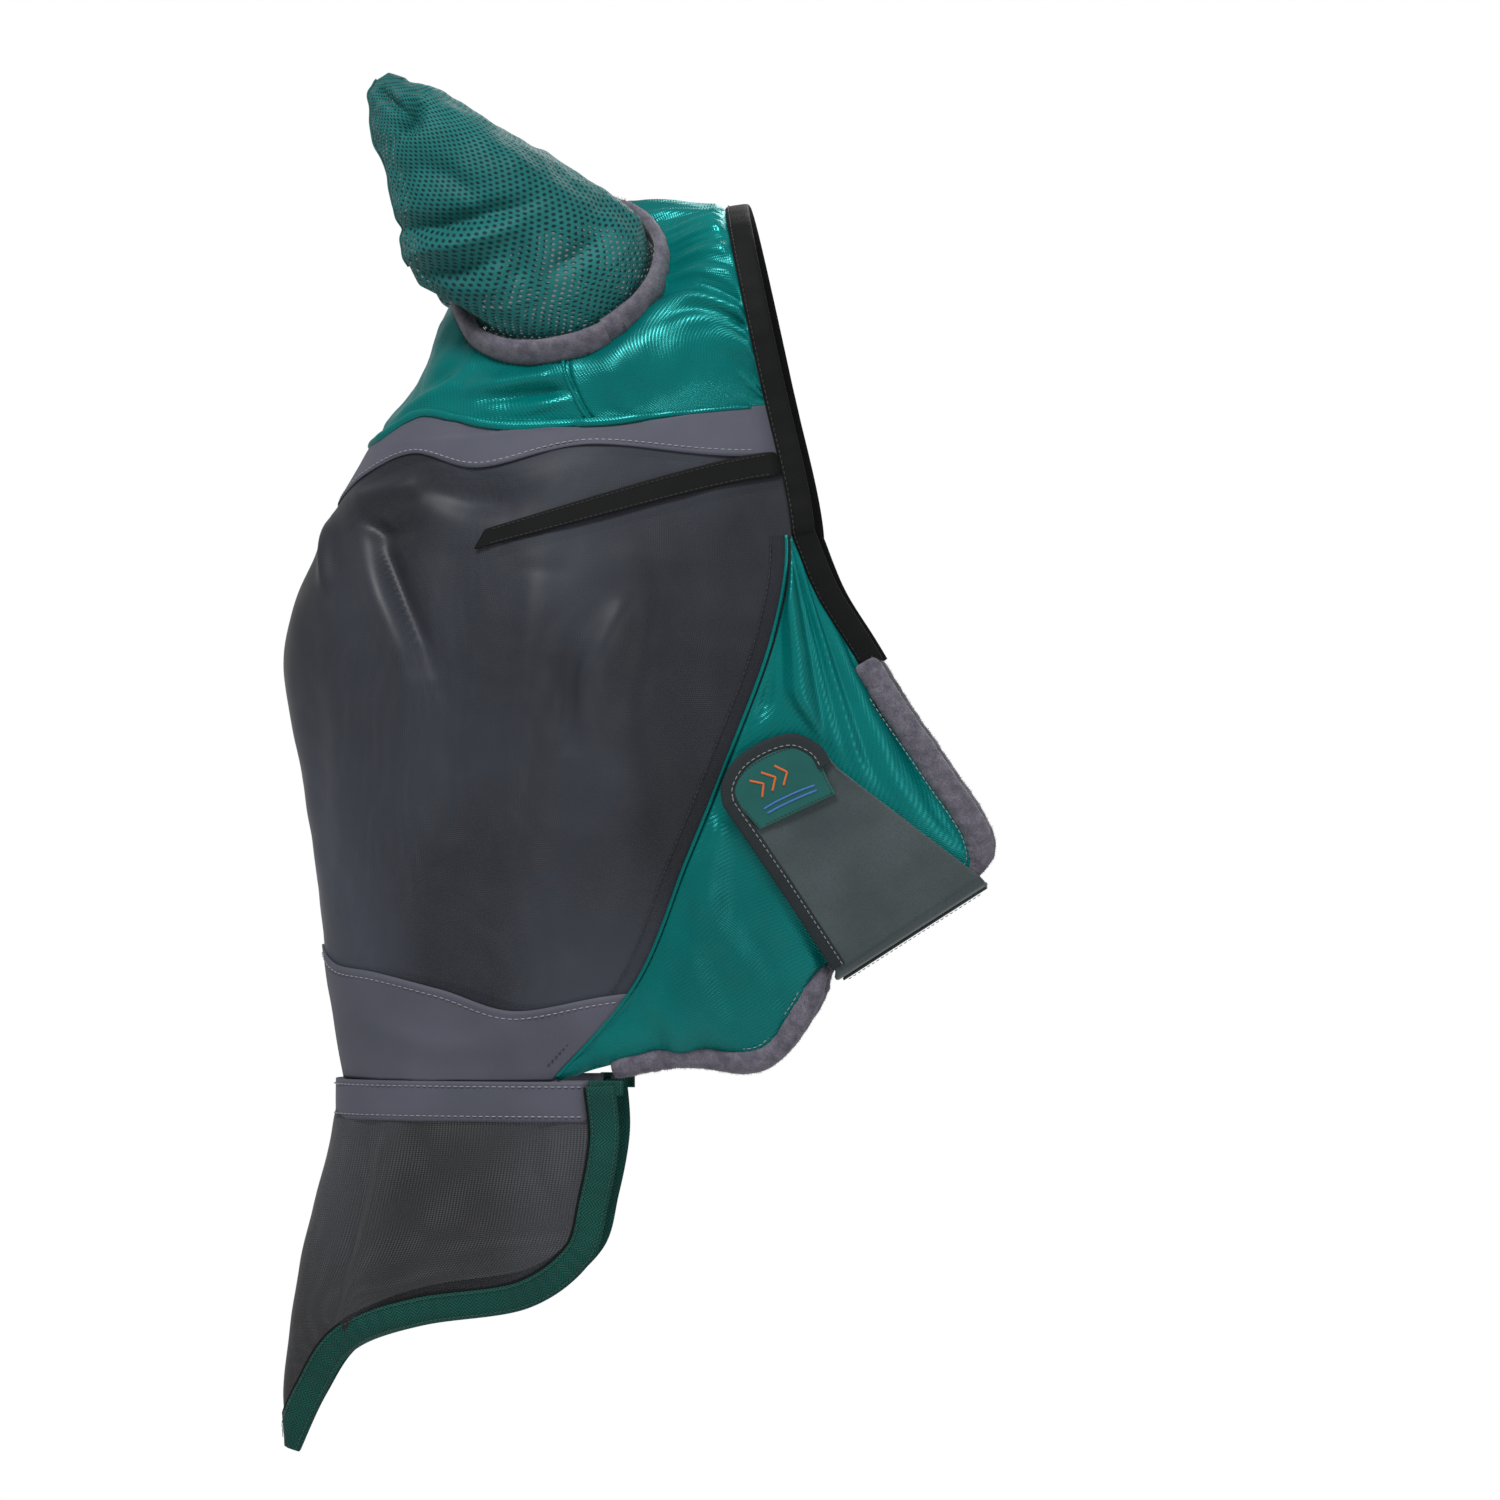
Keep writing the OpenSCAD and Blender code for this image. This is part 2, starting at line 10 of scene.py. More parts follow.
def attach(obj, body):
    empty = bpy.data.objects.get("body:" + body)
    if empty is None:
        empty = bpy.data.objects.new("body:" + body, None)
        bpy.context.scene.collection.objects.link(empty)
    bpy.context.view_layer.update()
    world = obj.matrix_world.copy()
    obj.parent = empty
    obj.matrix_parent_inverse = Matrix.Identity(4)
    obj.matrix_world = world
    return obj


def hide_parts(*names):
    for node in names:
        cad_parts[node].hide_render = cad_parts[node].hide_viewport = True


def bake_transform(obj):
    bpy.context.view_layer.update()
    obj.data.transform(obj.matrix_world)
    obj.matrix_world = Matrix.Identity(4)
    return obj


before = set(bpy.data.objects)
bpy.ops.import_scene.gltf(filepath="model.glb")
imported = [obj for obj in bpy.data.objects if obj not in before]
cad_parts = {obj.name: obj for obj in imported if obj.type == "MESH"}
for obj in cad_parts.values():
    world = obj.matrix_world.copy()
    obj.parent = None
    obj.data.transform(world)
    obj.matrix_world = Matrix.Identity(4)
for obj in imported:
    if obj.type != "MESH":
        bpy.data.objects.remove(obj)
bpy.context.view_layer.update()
random.seed(11)
MM = 0.001

# ---------- camera ----------

VIEW_CENTRE = (0.0275, 0.0, -0.286)
VIEW_WIDTH = 0.825
CAMERA_FAR = 5.0


def add_camera():
    data = bpy.data.cameras.new("camera")
    data.sensor_width = 36
    data.lens = 36 * CAMERA_FAR / VIEW_WIDTH
    data.clip_end = 50
    camera = bpy.data.objects.new("camera", data)
    turn = math.radians(2)
    x, y, z = VIEW_CENTRE
    camera.location = (x + CAMERA_FAR * math.sin(turn), y - CAMERA_FAR * math.cos(turn), z)
    camera.rotation_euler = (math.radians(90), 0, turn)
    bpy.context.collection.objects.link(camera)
    bpy.context.scene.camera = camera


add_camera()

# ---------- the pattern, in millimetres: the same curves as the CAD model ----------

BROW_HALF = 94
EYE_BULGE = 14
CROWN_POWER = 2.9
NOSE_POWER = 2.2
PANEL = 1.2
TOP_LINE = [[15, 10], [-11, 10], [-45, 6], [-80, -4], [-110, -28], [-135, -62], [-160, -92], [-180, -120]]
FACE_LINE = [[-180, -120], [-207, -170], [-229, -232], [-219, -300], [-211, -360], [-203, -420], [-195, -466]]
SEAM_LINE = [[39, -100], [53, -170], [45, -225], [20, -291], [-3, -346], [-31, -412], [-77, -466]]
CROWN_FOOT = [[37, -92], [39, -100]]
CHEEK_LINE = [
    [53, -170], [66, -202], [84, -231], [103, -262], [128, -299], [150, -334], [146, -356],
    [108, -380], [70, -404], [55, -428], [34, -452], [-4, -450], [-38, -455], [-76, -466],
]
SEAM_HALF = [BROW_HALF, BROW_HALF + 2, 96, 90, 82, 70, 58]
BULGE_SHARE = [0.15, 0.75, 1, 0.8, 0.4, 0.1, 0]
CHEEK_HALF = [93, 89, 84, 79, 73, 67, 63, 61, 59, 55, 51, 51, 54, 58]
CHEEK_START = 1 / 6
BROW_EDGE = [0.115, 0.07, 0.035, 0.07, 0.045, 0.075]
BROW_TOP = [0.01, -0.02, -0.08, -0.06, -0.01, 0.015, 0.0]
CROWN_SEAM_SHIFT = [-0.16, -0.13, -0.05, 0.02, 0.07]
NOSE_EDGE = [0.755, 0.785, 0.80, 0.83, 0.87, 0.85]
MUZZLE_LINE = [[-197, -468], [-206, -512], [-217, -555], [-225, -598], [-229, -638], [-227, -672]]
HEM_LINE = [
    [-44, -468], [-42, -498], [-48, -533], [-58, -565], [-92, -590], [-150, -600],
    [-188, -614], [-207, -641], [-221, -672],
]
HEM_HALF = [60, 62, 60, 56, 48, 38, 24, 11, 2.5]
EAR_FRONT = [[-150, -33], [-161, -8], [-165, 20], [-173, 48], [-176, 66], [-171, 77]]
EAR_BACK = [[-27, 1], [-48, 14], [-76, 33], [-110, 53], [-140, 71], [-156, 78]]
EAR_DEPTH = [44, 40, 33, 24, 13, 5]
EAR_MIDDLE = [-66, -72, -77, -81, -84, -86]
EAR_REACH = (58, 100)
EAR_LEVEL = -2
EAR_R = 52
CUFF_R = 54
FOLD_A = np.array([76.0, -410.0])
FOLD_B = np.array([157.0, -358.0])
STRAP_HALF = 67
STRAP_T = 2
TAB_LEFT = [[77.5, -408], [46, -359], [17, -316]]
TAB_RIGHT = [[155, -355], [112, -322], [74, -293]]
TAB_HALF = [68.6, 79, 89, 95]
TAB_TIP = [[17, -316], [16, -305], [24, -291], [40, -281], [55, -278], [68, -284], [74, -293]]
STRAP_UP = np.array([-0.675, 0.738])
CROWN_SPLIT = -0.504
GATHER_FROM = 0.74
BAND_TOP = -466.4
BAND_LOW = -488.4


def unit(v):
    v = np.asarray(v, float)
    return v / max(1e-12, np.linalg.norm(v))


EAR_AT = np.array([-73.0, -46.0, -32.0])
EAR_UP = unit([-0.27, -0.68, 0.68])
EAR_FORE = unit([0.945, 0, 0.327])
EAR_IN = np.cross(EAR_UP, EAR_FORE)


def mix(a, b, f):
    return np.asarray(a, float) * (1 - f) + np.asarray(b, float) * f


def smooth(f):
    f = min(1.0, max(0.0, f))
    return f * f * (3 - 2 * f)


def curve(points, u):
    """The smooth curve through every point, u from 0 to 1."""
    n = len(points) - 1
    v = min(1.0, max(0.0, u)) * n
    k = min(int(v), n - 1)
    f = v - k
    a, b, c, d = (np.asarray(points[min(n, max(0, i))], float) for i in (k - 1, k, k + 1, k + 2))
    square = 2 * a - 5 * b + 4 * c - d
    cube = 3 * b - a - 3 * c + d
    return 0.5 * (2 * b + (c - a) * f + square * f * f + cube * f ** 3)


def oval(middle, end, half, power, t, out, bulge=0.0):
    """A point on the arch from the middle line out to one side, t from -1 left to 1 right."""
    side = -1 if t < 0 else 1
    angle = math.pi / 2 * min(1.0, abs(t))
    ahead = max(0.0, math.cos(angle))
    share = 1 - ahead ** (2 / power)
    wide = half * math.sin(angle) ** (2 / power) + bulge * math.sin(math.pi * share) ** 2
    p = mix(middle, end, share) + unit(middle - end) * ahead * out
    return np.array([p[0], side * (wide + math.sin(angle) * out), p[1]])


def hood(s, t, out=0.0):
    """The hood: s is -1 at the poll, 0 at the brow and 1 at the nose."""
    if s < 0:
        foot = mix(CROWN_FOOT[0], CROWN_FOOT[1], s + 1)
        p = oval(curve(TOP_LINE, s + 1), foot, BROW_HALF, CROWN_POWER, t, out)
    else:
        bulge = EYE_BULGE * float(curve(BULGE_SHARE, s))
        power = CROWN_POWER + (NOSE_POWER - CROWN_POWER) * s
        p = oval(curve(FACE_LINE, s), curve(SEAM_LINE, s), float(curve(SEAM_HALF, s)), power, t, out, bulge)
    if s > 0:
        return p
    away = np.array([p[0], -abs(p[1]), p[2]]) - EAR_AT
    level = away @ EAR_UP
    far = np.linalg.norm(away - level * EAR_UP)
    rise = (EAR_LEVEL + out - level) * smooth((EAR_REACH[1] - far) / (EAR_REACH[1] - EAR_REACH[0]))
    rise *= min(1.0, -s * 4)
    spread = min(1.0, abs(p[1]) / 30) * (1 if p[1] < 0 else -1)
    return p + rise * EAR_UP * [1, spread, 1]


def cheek(v, q, side=-1, out=0.0):
    """The cheek: v runs down its edge from the binding to the nose, q from the seam to the edge."""
    s = CHEEK_START + (1 - CHEEK_START) * v
    p = mix(curve(SEAM_LINE, s), curve(CHEEK_LINE, v), q)
    half = mix(curve(SEAM_HALF, s), curve(CHEEK_HALF, v), q * q)
    return np.array([p[0], side * (float(half) + out), p[1]])


def muzzle_power(w):
    return NOSE_POWER + (1.7 - NOSE_POWER) * w


def muzzle(w, t, out=0.0):
    """The nose piece: w runs down from its band to the point."""
    return oval(curve(MUZZLE_LINE, w), curve(HEM_LINE, w), float(curve(HEM_HALF, w)), muzzle_power(w), t, out)


def muzzle_over(p, near, out=0.0, side=-1):
    """The point of the nose piece that side view point p falls on, on a row close to near."""
    low, high = max(0.0, near - 0.13), min(1.0, near + 0.04)
    for _ in range(16):
        w = (low + high) / 2
        m = curve(MUZZLE_LINE, w)
        e = curve(HEM_LINE, w) - m
        if e[0] * (p[1] - m[1]) - e[1] * (p[0] - m[0]) > 0:
            high = w
        else:
            low = w
    share = min(1.0, max(0.0, (p - m) @ e / (e @ e)))
    t = math.acos((1 - share) ** (muzzle_power(w) / 2)) / (math.pi / 2)
    return muzzle(w, side * max(t, 1e-3), out)


def nose_wall(z, t, out):
    p = oval(np.array([-196.0, z]), np.array([-47.0, z]), 58.5, NOSE_POWER, t, out)
    return np.array([p[0], p[1], z])


def tab(f, q, out=0.0, side=-1):
    """The strap on the cheek: f runs up from the fold to the tip, q across it."""
    p = mix(curve(TAB_LEFT, f), curve(TAB_RIGHT, f), q)
    p = p + f ** 3 * (curve(TAB_TIP, q) - mix(TAB_TIP[0], TAB_TIP[-1], q))
    return np.array([p[0], side * (float(curve(TAB_HALF, f)) + out), p[1]])


# ---------- mesh building ----------


def steps(a, b, n):
    return [a + (b - a) * i / n for i in range(n + 1)]


def mirrored(points):
    return [np.array([p[0], -p[1], p[2]]) for p in points]


def new_object(name, verts, faces, uvs=None, material=None):
    """A smooth mesh from millimetre points; uvs are one pair in millimetres per vertex."""
    mesh = bpy.data.meshes.new(name)
    mesh.from_pydata([tuple(float(c) * MM for c in v) for v in verts], [], faces)
    if uvs is not None:
        layer = mesh.uv_layers.new(name="UVMap")
        for loop in mesh.loops:
            u, v = uvs[loop.vertex_index]
            layer.data[loop.index].uv = (u, v)
    mesh.polygons.foreach_set("use_smooth", [True] * len(mesh.polygons))
    mesh.update()
    piece = bpy.data.objects.new(name, mesh)
    bpy.context.collection.objects.link(piece)
    if material:
        mesh.materials.append(material)
    return piece


class Cloth:
    """A grid of points in millimetres, shaped by moving each point along its normal."""

    def __init__(self, rows, closed=False):
        self.p = np.array([[q for q in row] for row in rows], float)
        self.closed = closed
        r, c, _ = self.p.shape
        across = np.linalg.norm(np.diff(self.p, axis=1), axis=2).mean(axis=0)
        down = np.linalg.norm(np.diff(self.p, axis=0), axis=2).mean(axis=1)
        self.u = np.concatenate([[0], np.cumsum(across)])
        self.v = np.concatenate([[0], np.cumsum(down)])
        self.flat = self.p.copy()
        self.normal = self.find_normals()

    def find_normals(self):
        p = self.p
        if self.closed:
            wide = np.concatenate([p[:, -2:-1], p, p[:, 1:2]], axis=1)
            du = wide[:, 2:] - wide[:, :-2]
        else:
            du = np.gradient(p, axis=1)
        dv = np.gradient(p, axis=0)
        n = np.cross(du, dv)
        n /= np.maximum(1e-9, np.linalg.norm(n, axis=2, keepdims=True))
        return n

    def facing_out(self, centre):
        """Turns the normals so that they point away from a centre."""
        away = self.p - np.asarray(centre, float)
        if (away * self.normal).sum() < 0:
            self.normal = -self.normal
        return self

    def push(self, amount):
        """amount(p, i, j) is how far each point moves out, in millimetres."""
        r, c, _ = self.p.shape
        move = np.array([[amount(self.flat[i, j], i, j) for j in range(c)] for i in range(r)])
        self.p = self.p + self.normal * move[:, :, None]
        return self

    def piece(self, name, material, thick=0.0, keep=None, level=0):
        r, c, _ = self.p.shape
        verts = self.p.reshape(-1, 3)
        uvs = [(self.u[j], self.v[i]) for i in range(r) for j in range(c)]
        faces = []
        for i in range(r - 1):
            for j in range(c - 1):
                quad = (i * c + j, i * c + j + 1, (i + 1) * c + j + 1, (i + 1) * c + j)
                if keep is None or all(keep[k // c][k % c] for k in quad):
                    faces.append(quad)
        out = new_object(name, verts, faces, uvs, material)
        tidy(out)
        if level:
            out.modifiers.new("smooth", "SUBSURF").levels = level
            out.modifiers["smooth"].render_levels = level
        if thick:
            body = out.modifiers.new("thickness", "SOLIDIFY")
            body.thickness = thick * MM
            body.offset = 0
        return out


def tidy(piece):
    """Drops loose points, joins coincident ones and makes the faces agree."""
    import bmesh

    bm = bmesh.new()
    bm.from_mesh(piece.data)
    bmesh.ops.remove_doubles(bm, verts=bm.verts, dist=1e-6)
    bmesh.ops.delete(bm, geom=[v for v in bm.verts if not v.link_faces], context="VERTS")
    bmesh.ops.recalc_face_normals(bm, faces=bm.faces)
    bm.to_mesh(piece.data)
    bm.free()


# ---------- materials ----------


def linear(r, g, b):
    """A colour given as 0 to 255 screen values, as the renderer wants it."""

    def channel(c):
        return (c / 255 / 12.92) if c <= 10 else ((c / 255 + 0.055) / 1.055) ** 2.4

    return (channel(r), channel(g), channel(b), 1.0)


class Look:
    """One node material. Patterns are worked out from UVs, which are in millimetres."""

    def __init__(self, name, **shader):
        self.mat = bpy.data.materials.new(name)
        self.mat.use_nodes = True
        self.tree = self.mat.node_tree
        self.tree.nodes.clear()
        self.out = self.node("ShaderNodeOutputMaterial")
        self.bsdf = self.node("ShaderNodeBsdfPrincipled", **shader)
        self.join(self.bsdf.outputs[0], self.out.inputs["Surface"])
        where = self.node("ShaderNodeUVMap")
        split = self.node("ShaderNodeSeparateXYZ", Vector=where.outputs["UV"])
        self.u, self.v = split.outputs["X"], split.outputs["Y"]
        self.uv = where.outputs["UV"]
        self.at = self.node("ShaderNodeTexCoord").outputs["Object"]

    def join(self, a, b):
        self.tree.links.new(a, b)

    def node(self, kind, **inputs):
        n = self.tree.nodes.new(kind)
        for key, value in inputs.items():
            name = key.replace("_", " ")
            self.put(n.inputs[name], value)
        return n

    def put(self, socket, value):
        if isinstance(value, bpy.types.NodeSocket):
            self.join(value, socket)
        else:
            socket.default_value = value

    def math(self, kind, a, b=0.0, c=0.0, clamp=False):
        n = self.tree.nodes.new("ShaderNodeMath")
        n.operation = kind
        n.use_clamp = clamp
        for socket, value in zip(n.inputs, (a, b, c)):
            self.put(socket, value)
        return n.outputs[0]

    def wave(self, x, pitch, phase=0.0):
        """A ripple from 0 to 1 of a pitch in millimetres."""
        turn = self.math("MULTIPLY_ADD", x, 2 * math.pi / pitch, phase)
        return self.math("MULTIPLY_ADD", self.math("SINE", turn), 0.5, 0.5)

    def noise(self, scale, detail=3.0, where=None, stretch=None):
        """Cloudy noise from 0 to 1; scale is in features a metre of the object."""
        spot = where or self.at
        if stretch:
            spot = self.node("ShaderNodeMapping", Vector=spot, Scale=stretch).outputs[0]
        return self.node("ShaderNodeTexNoise", Vector=spot, Scale=scale, Detail=detail).outputs[0]

    def blend(self, factor, a, b):
        n = self.tree.nodes.new("ShaderNodeMix")
        n.data_type = "RGBA"
        self.put(n.inputs[0], factor)
        self.put(n.inputs[6], a)
        self.put(n.inputs[7], b)
        return n.outputs[2]

    def span(self, x, low, high):
        """x spread so that low becomes 0 and high becomes 1, kept within them."""
        return self.node(
            "ShaderNodeMapRange", Value=x, From_Min=low, From_Max=high, To_Min=0.0, To_Max=1.0
        ).outputs[0]

    def colour(self, value):
        self.put(self.bsdf.inputs["Base Color"], value)

    def rough(self, value):
        self.put(self.bsdf.inputs["Roughness"], value)

    def bump(self, height, depth, strength=1.0):
        """Adds a bump whose full height is depth millimetres."""
        n = self.node("ShaderNodeBump", Height=height, Distance=depth * MM, Strength=strength)
        last = getattr(self, "last_bump", None)
        if last:
            self.join(last, n.inputs["Normal"])
        self.last_bump = n.outputs[0]
        self.join(n.outputs[0], self.bsdf.inputs["Normal"])

    def see_through(self, cover):
        """cover is how much of the light each point stops, 0 to 1."""
        clear = self.node("ShaderNodeBsdfTransparent")
        pair = self.node("ShaderNodeMixShader")
        self.put(pair.inputs[0], cover)
        self.join(clear.outputs[0], pair.inputs[1])
        self.join(self.bsdf.outputs[0], pair.inputs[2])
        self.join(pair.outputs[0], self.out.inputs["Surface"])

    def plain_weave(self, pitch):
        over = self.math("MULTIPLY", self.wave(self.u, pitch), self.wave(self.v, pitch))
        under = self.math("MULTIPLY", self.wave(self.u, pitch, math.pi), self.wave(self.v, pitch, math.pi))
        return self.math("MAXIMUM", over, under)

    def hexagons(self, pitch):
        """Distance in millimetres from the nearest hole of a six-sided mesh."""
        tall = pitch * math.sqrt(3)

        def lattice(shift):
            x = self.math("MULTIPLY_ADD", self.u, 1 / pitch, shift)
            y = self.math("MULTIPLY_ADD", self.v, 1 / tall, shift)
            dx = self.math("MULTIPLY", self.math("SUBTRACT", self.math("FRACT", x), 0.5), pitch)
            dy = self.math("MULTIPLY", self.math("SUBTRACT", self.math("FRACT", y), 0.5), tall)
            both = self.math("ADD", self.math("MULTIPLY", dx, dx), self.math("MULTIPLY", dy, dy))
            return self.math("SQRT", both)

        return self.math("MINIMUM", lattice(0.0), lattice(0.5))


def satin_look():
    """Shiny teal stretch knit: fine ribs, soft streaks and a glossy face."""
    look = Look("stretch_satin", Metallic=0.3, Specular_IOR_Level=0.55, Specular_Tint=(0.35, 0.95, 0.95, 1))
    rib = look.wave(look.math("ADD", look.u, look.math("MULTIPLY", look.v, 0.35)), 1.8)
    knit = look.math("MULTIPLY", rib, look.wave(look.v, 1.2))
    cloud = look.noise(9, 4)
    streak = look.noise(160, 2)
    base = look.blend(look.span(cloud, 0.3, 0.7), linear(0, 104, 102), linear(0, 134, 130))
    look.colour(look.blend(look.math("MULTIPLY", knit, 0.4), base, linear(0, 70, 72)))
    look.rough(look.math("MULTIPLY_ADD", streak, 0.14, 0.21))
    look.bump(knit, 0.2, 0.6)
    look.bump(look.noise(75, 3), 1.1, 0.5)
    return look.mat


def band_look():
    """Grey woven nylon band with a fine plain weave."""
    look = Look("grey_band", Specular_IOR_Level=0.3, Sheen_Weight=0.08, Sheen_Roughness=0.5)
    weave = look.plain_weave(0.9)
    cloud = look.noise(14, 5)
    base = look.blend(look.span(cloud, 0.3, 0.7), linear(78, 80, 92), linear(94, 95, 108))
    look.colour(look.blend(look.math("MULTIPLY", weave, 0.3), base, linear(62, 64, 76)))
    look.rough(look.math("MULTIPLY_ADD", cloud, 0.2, 0.5))
    look.bump(weave, 0.14, 0.5)
    look.bump(look.noise(45, 3), 0.9, 0.35)
    return look.mat


def mesh_look(name, cover_low, cover_high, shade=(34, 36, 42)):
    """Fine black mesh: threads every 1.1 mm with gaps that show what is behind."""
    look = Look(name, Specular_IOR_Level=0.3, Sheen_Weight=0.08, Sheen_Roughness=0.35)
    thread = look.math("MAXIMUM", look.wave(look.u, 1.1), look.wave(look.v, 1.1))
    cloud = look.noise(11, 4)
    # Painted light and shade: broad streaky patches lighten the colour to a lit copy, standing in for fold
    # highlights and light coming through the mesh from behind.
    painted_light_patches = look.noise(9, 1, stretch=(1.0, 0.6, 0.4))
    dark = linear(*[c * 0.66 for c in shade])
    base = look.blend(look.span(cloud, 0.3, 0.7), dark, linear(*shade))
    look.colour(look.blend(look.span(painted_light_patches, 0.42, 0.66), base, linear(*[c * 1.45 for c in shade])))
    look.rough(look.math("MULTIPLY_ADD", cloud, 0.16, 0.38))
    look.bump(thread, 0.05, 0.3)
    look.bump(look.noise(32, 3), 1.0, 0.3)
    cover = look.math("MULTIPLY_ADD", look.span(thread, 0.35, 0.95), cover_high - cover_low, cover_low)
    look.see_through(cover)
    return look.mat


def ear_look():
    """Soft teal mesh of six-sided holes, 3 mm apart."""
    look = Look("ear_mesh", Specular_IOR_Level=0.25, Sheen_Weight=0.06, Sheen_Roughness=0.5)
    gap = look.hexagons(2.9)
    rim = look.span(gap, 0.55, 0.95)
    yarn = look.plain_weave(0.7)
    cloud = look.noise(12, 4)
    base = look.blend(look.span(cloud, 0.3, 0.7), linear(6, 92, 92), linear(22, 118, 115))
    base = look.blend(look.math("MULTIPLY", yarn, 0.3), base, linear(4, 74, 78))
    # Painted shade: the holes are coloured dark teal, standing in for the shade inside the cover seen through
    # them.
    look.colour(look.blend(rim, linear(5, 48, 52), base))
    look.rough(look.math("MULTIPLY_ADD", cloud, 0.2, 0.5))
    look.bump(rim, 0.35, 0.7)
    look.bump(yarn, 0.1, 0.4)
    look.see_through(look.math("MULTIPLY_ADD", rim, 0.4, 0.6))
    return look.mat


def fleece_look():
    """Short grey pile: fuzzy, uneven and matt."""
    look = Look("fleece", Specular_IOR_Level=0.1, Sheen_Weight=0.3, Sheen_Roughness=0.6)
    tuft = look.noise(900, 4)
    clump = look.noise(190, 3)
    base = look.blend(look.span(clump, 0.35, 0.65), linear(88, 85, 97), linear(116, 112, 125))
    look.colour(look.blend(look.math("MULTIPLY", look.span(tuft, 0.4, 0.7), 0.5), base, linear(70, 67, 80)))
    look.rough(look.math("MULTIPLY_ADD", tuft, 0.1, 0.88))
    look.bump(clump, 1.0, 0.7)
    look.bump(tuft, 0.6, 0.8)
    return look.mat


def tape_look(name="black_tape", low=(7, 8, 8), high=(22, 24, 23)):
    """Matt black folded tape with a fine cross rib."""
    look = Look(name, Specular_IOR_Level=0.2, Sheen_Weight=0.04, Sheen_Roughness=0.4)
    rib = look.math("MULTIPLY", look.wave(look.u, 0.8), look.wave(look.v, 1.3))
    cloud = look.noise(60, 4)
    lit = look.math("MULTIPLY", rib, look.span(cloud, 0.1, 0.9))
    look.colour(look.blend(lit, linear(*low), linear(*high)))
    look.rough(look.math("MULTIPLY_ADD", cloud, 0.2, 0.6))
    look.bump(rib, 0.18, 0.6)
    return look.mat


def webbing_look():
    """Green herringbone webbing: chevrons in four columns."""
    look = Look("green_webbing", Specular_IOR_Level=0.25, Sheen_Weight=0.06, Sheen_Roughness=0.4)
    column = look.math("PINGPONG", look.v, 3.75)
    chevron = look.wave(look.math("ADD", look.u, look.math("MULTIPLY", column, 1.1)), 2.0)
    cloud = look.noise(40, 4)
    base = look.blend(look.span(cloud, 0.25, 0.75), linear(2, 74, 66), linear(10, 96, 84))
    look.colour(look.blend(chevron, linear(0, 50, 46), base))
    look.rough(look.math("MULTIPLY_ADD", cloud, 0.2, 0.55))
    look.bump(chevron, 0.35, 0.8)
    return look.mat


def strap_look():
    """Grey-green brushed loop cloth."""
    look = Look("strap_cloth", Specular_IOR_Level=0.15, Sheen_Weight=0.15, Sheen_Roughness=0.5)
    loops = look.noise(1400, 3)
    cloud = look.noise(22, 5)
    base = look.blend(look.span(cloud, 0.3, 0.7), linear(66, 76, 78), linear(84, 94, 96))
    look.colour(look.blend(look.math("MULTIPLY", look.span(loops, 0.4, 0.7), 0.4), base, linear(52, 60, 63)))
    look.rough(look.math("MULTIPLY_ADD", loops, 0.15, 0.75))
    look.bump(loops, 0.35, 0.5)
    look.bump(look.noise(60, 3), 0.5, 0.3)
    return look.mat


def label_look():
    """Flat coated teal patch with a faint grain."""
    look = Look("label", Specular_IOR_Level=0.5)
    grain = look.noise(600, 3)
    cloud = look.noise(30, 3)
    base = look.blend(look.span(cloud, 0.3, 0.7), linear(6, 84, 80), linear(12, 98, 92))
    look.colour(look.blend(look.math("MULTIPLY", grain, 0.25), base, linear(4, 62, 60)))
    look.rough(look.math("MULTIPLY_ADD", grain, 0.2, 0.34))
    look.bump(grain, 0.08, 0.5)
    return look.mat


def thread_look(name, low, high):
    """Twisted sewing thread."""
    look = Look(name, Specular_IOR_Level=0.4, Sheen_Weight=0.3)
    twist = look.wave(look.math("ADD", look.u, look.v), 0.5)
    look.colour(look.blend(twist, linear(*low), linear(*high)))
    look.rough(look.math("MULTIPLY_ADD", twist, 0.1, 0.5))
    look.bump(twist, 0.08, 0.6)
    return look.mat


def hook_look():
    """Rows of small moulded hooks."""
    look = Look("touch_hook", Specular_IOR_Level=0.5)
    hooks = look.math("MULTIPLY", look.wave(look.u, 1.4), look.wave(look.v, 1.4))
    look.colour(look.blend(hooks, linear(8, 8, 9), linear(34, 35, 37)))
    look.rough(look.math("MULTIPLY_ADD", hooks, -0.2, 0.6))
    look.bump(hooks, 0.8, 0.9)
    return look.mat


SATIN = satin_look()
BAND = band_look()
EYE_MESH = mesh_look("fine_mesh", 0.84, 0.985, (44, 47, 55))
NOSE_MESH = mesh_look("nose_fine_mesh", 0.74, 0.93, (38, 39, 44))
MESH_HEM = mesh_look("mesh_hem", 0.9, 0.99, (24, 25, 32))
EAR_MESH = ear_look()
FLEECE = fleece_look()
TAPE = tape_look()
WEBBING = webbing_look()
STRAP = strap_look()
STRAP_EDGE = tape_look("strap_edge", (36, 42, 46), (62, 70, 74))
LOOP = tape_look("touch_loop", (8, 8, 9), (26, 26, 28))
HOOK = hook_look()
LABEL = label_look()
THREAD_GREY = thread_look("thread_grey", (120, 120, 132), (176, 176, 186))
THREAD_DARK = thread_look("thread_dark", (10, 10, 12), (30, 30, 34))
THREAD_STRAP = thread_look("thread_strap", (110, 120, 120), (160, 168, 168))
ORANGE = thread_look("label_orange", (196, 84, 20), (232, 118, 38))
BLUE = thread_look("label_blue", (40, 96, 170), (70, 130, 204))

# ---------- folds ----------


def hills(x, seed):
    """A smooth uneven value around 0, about one hill for each unit of x."""
    return noise.noise((x, seed * 7.31, 0.5))


def rough_at(p, size, seed):
    """Smooth noise over space, about one hill for each size millimetres."""
    return noise.noise((p[0] / size + seed * 3.7, p[1] / size, p[2] / size))


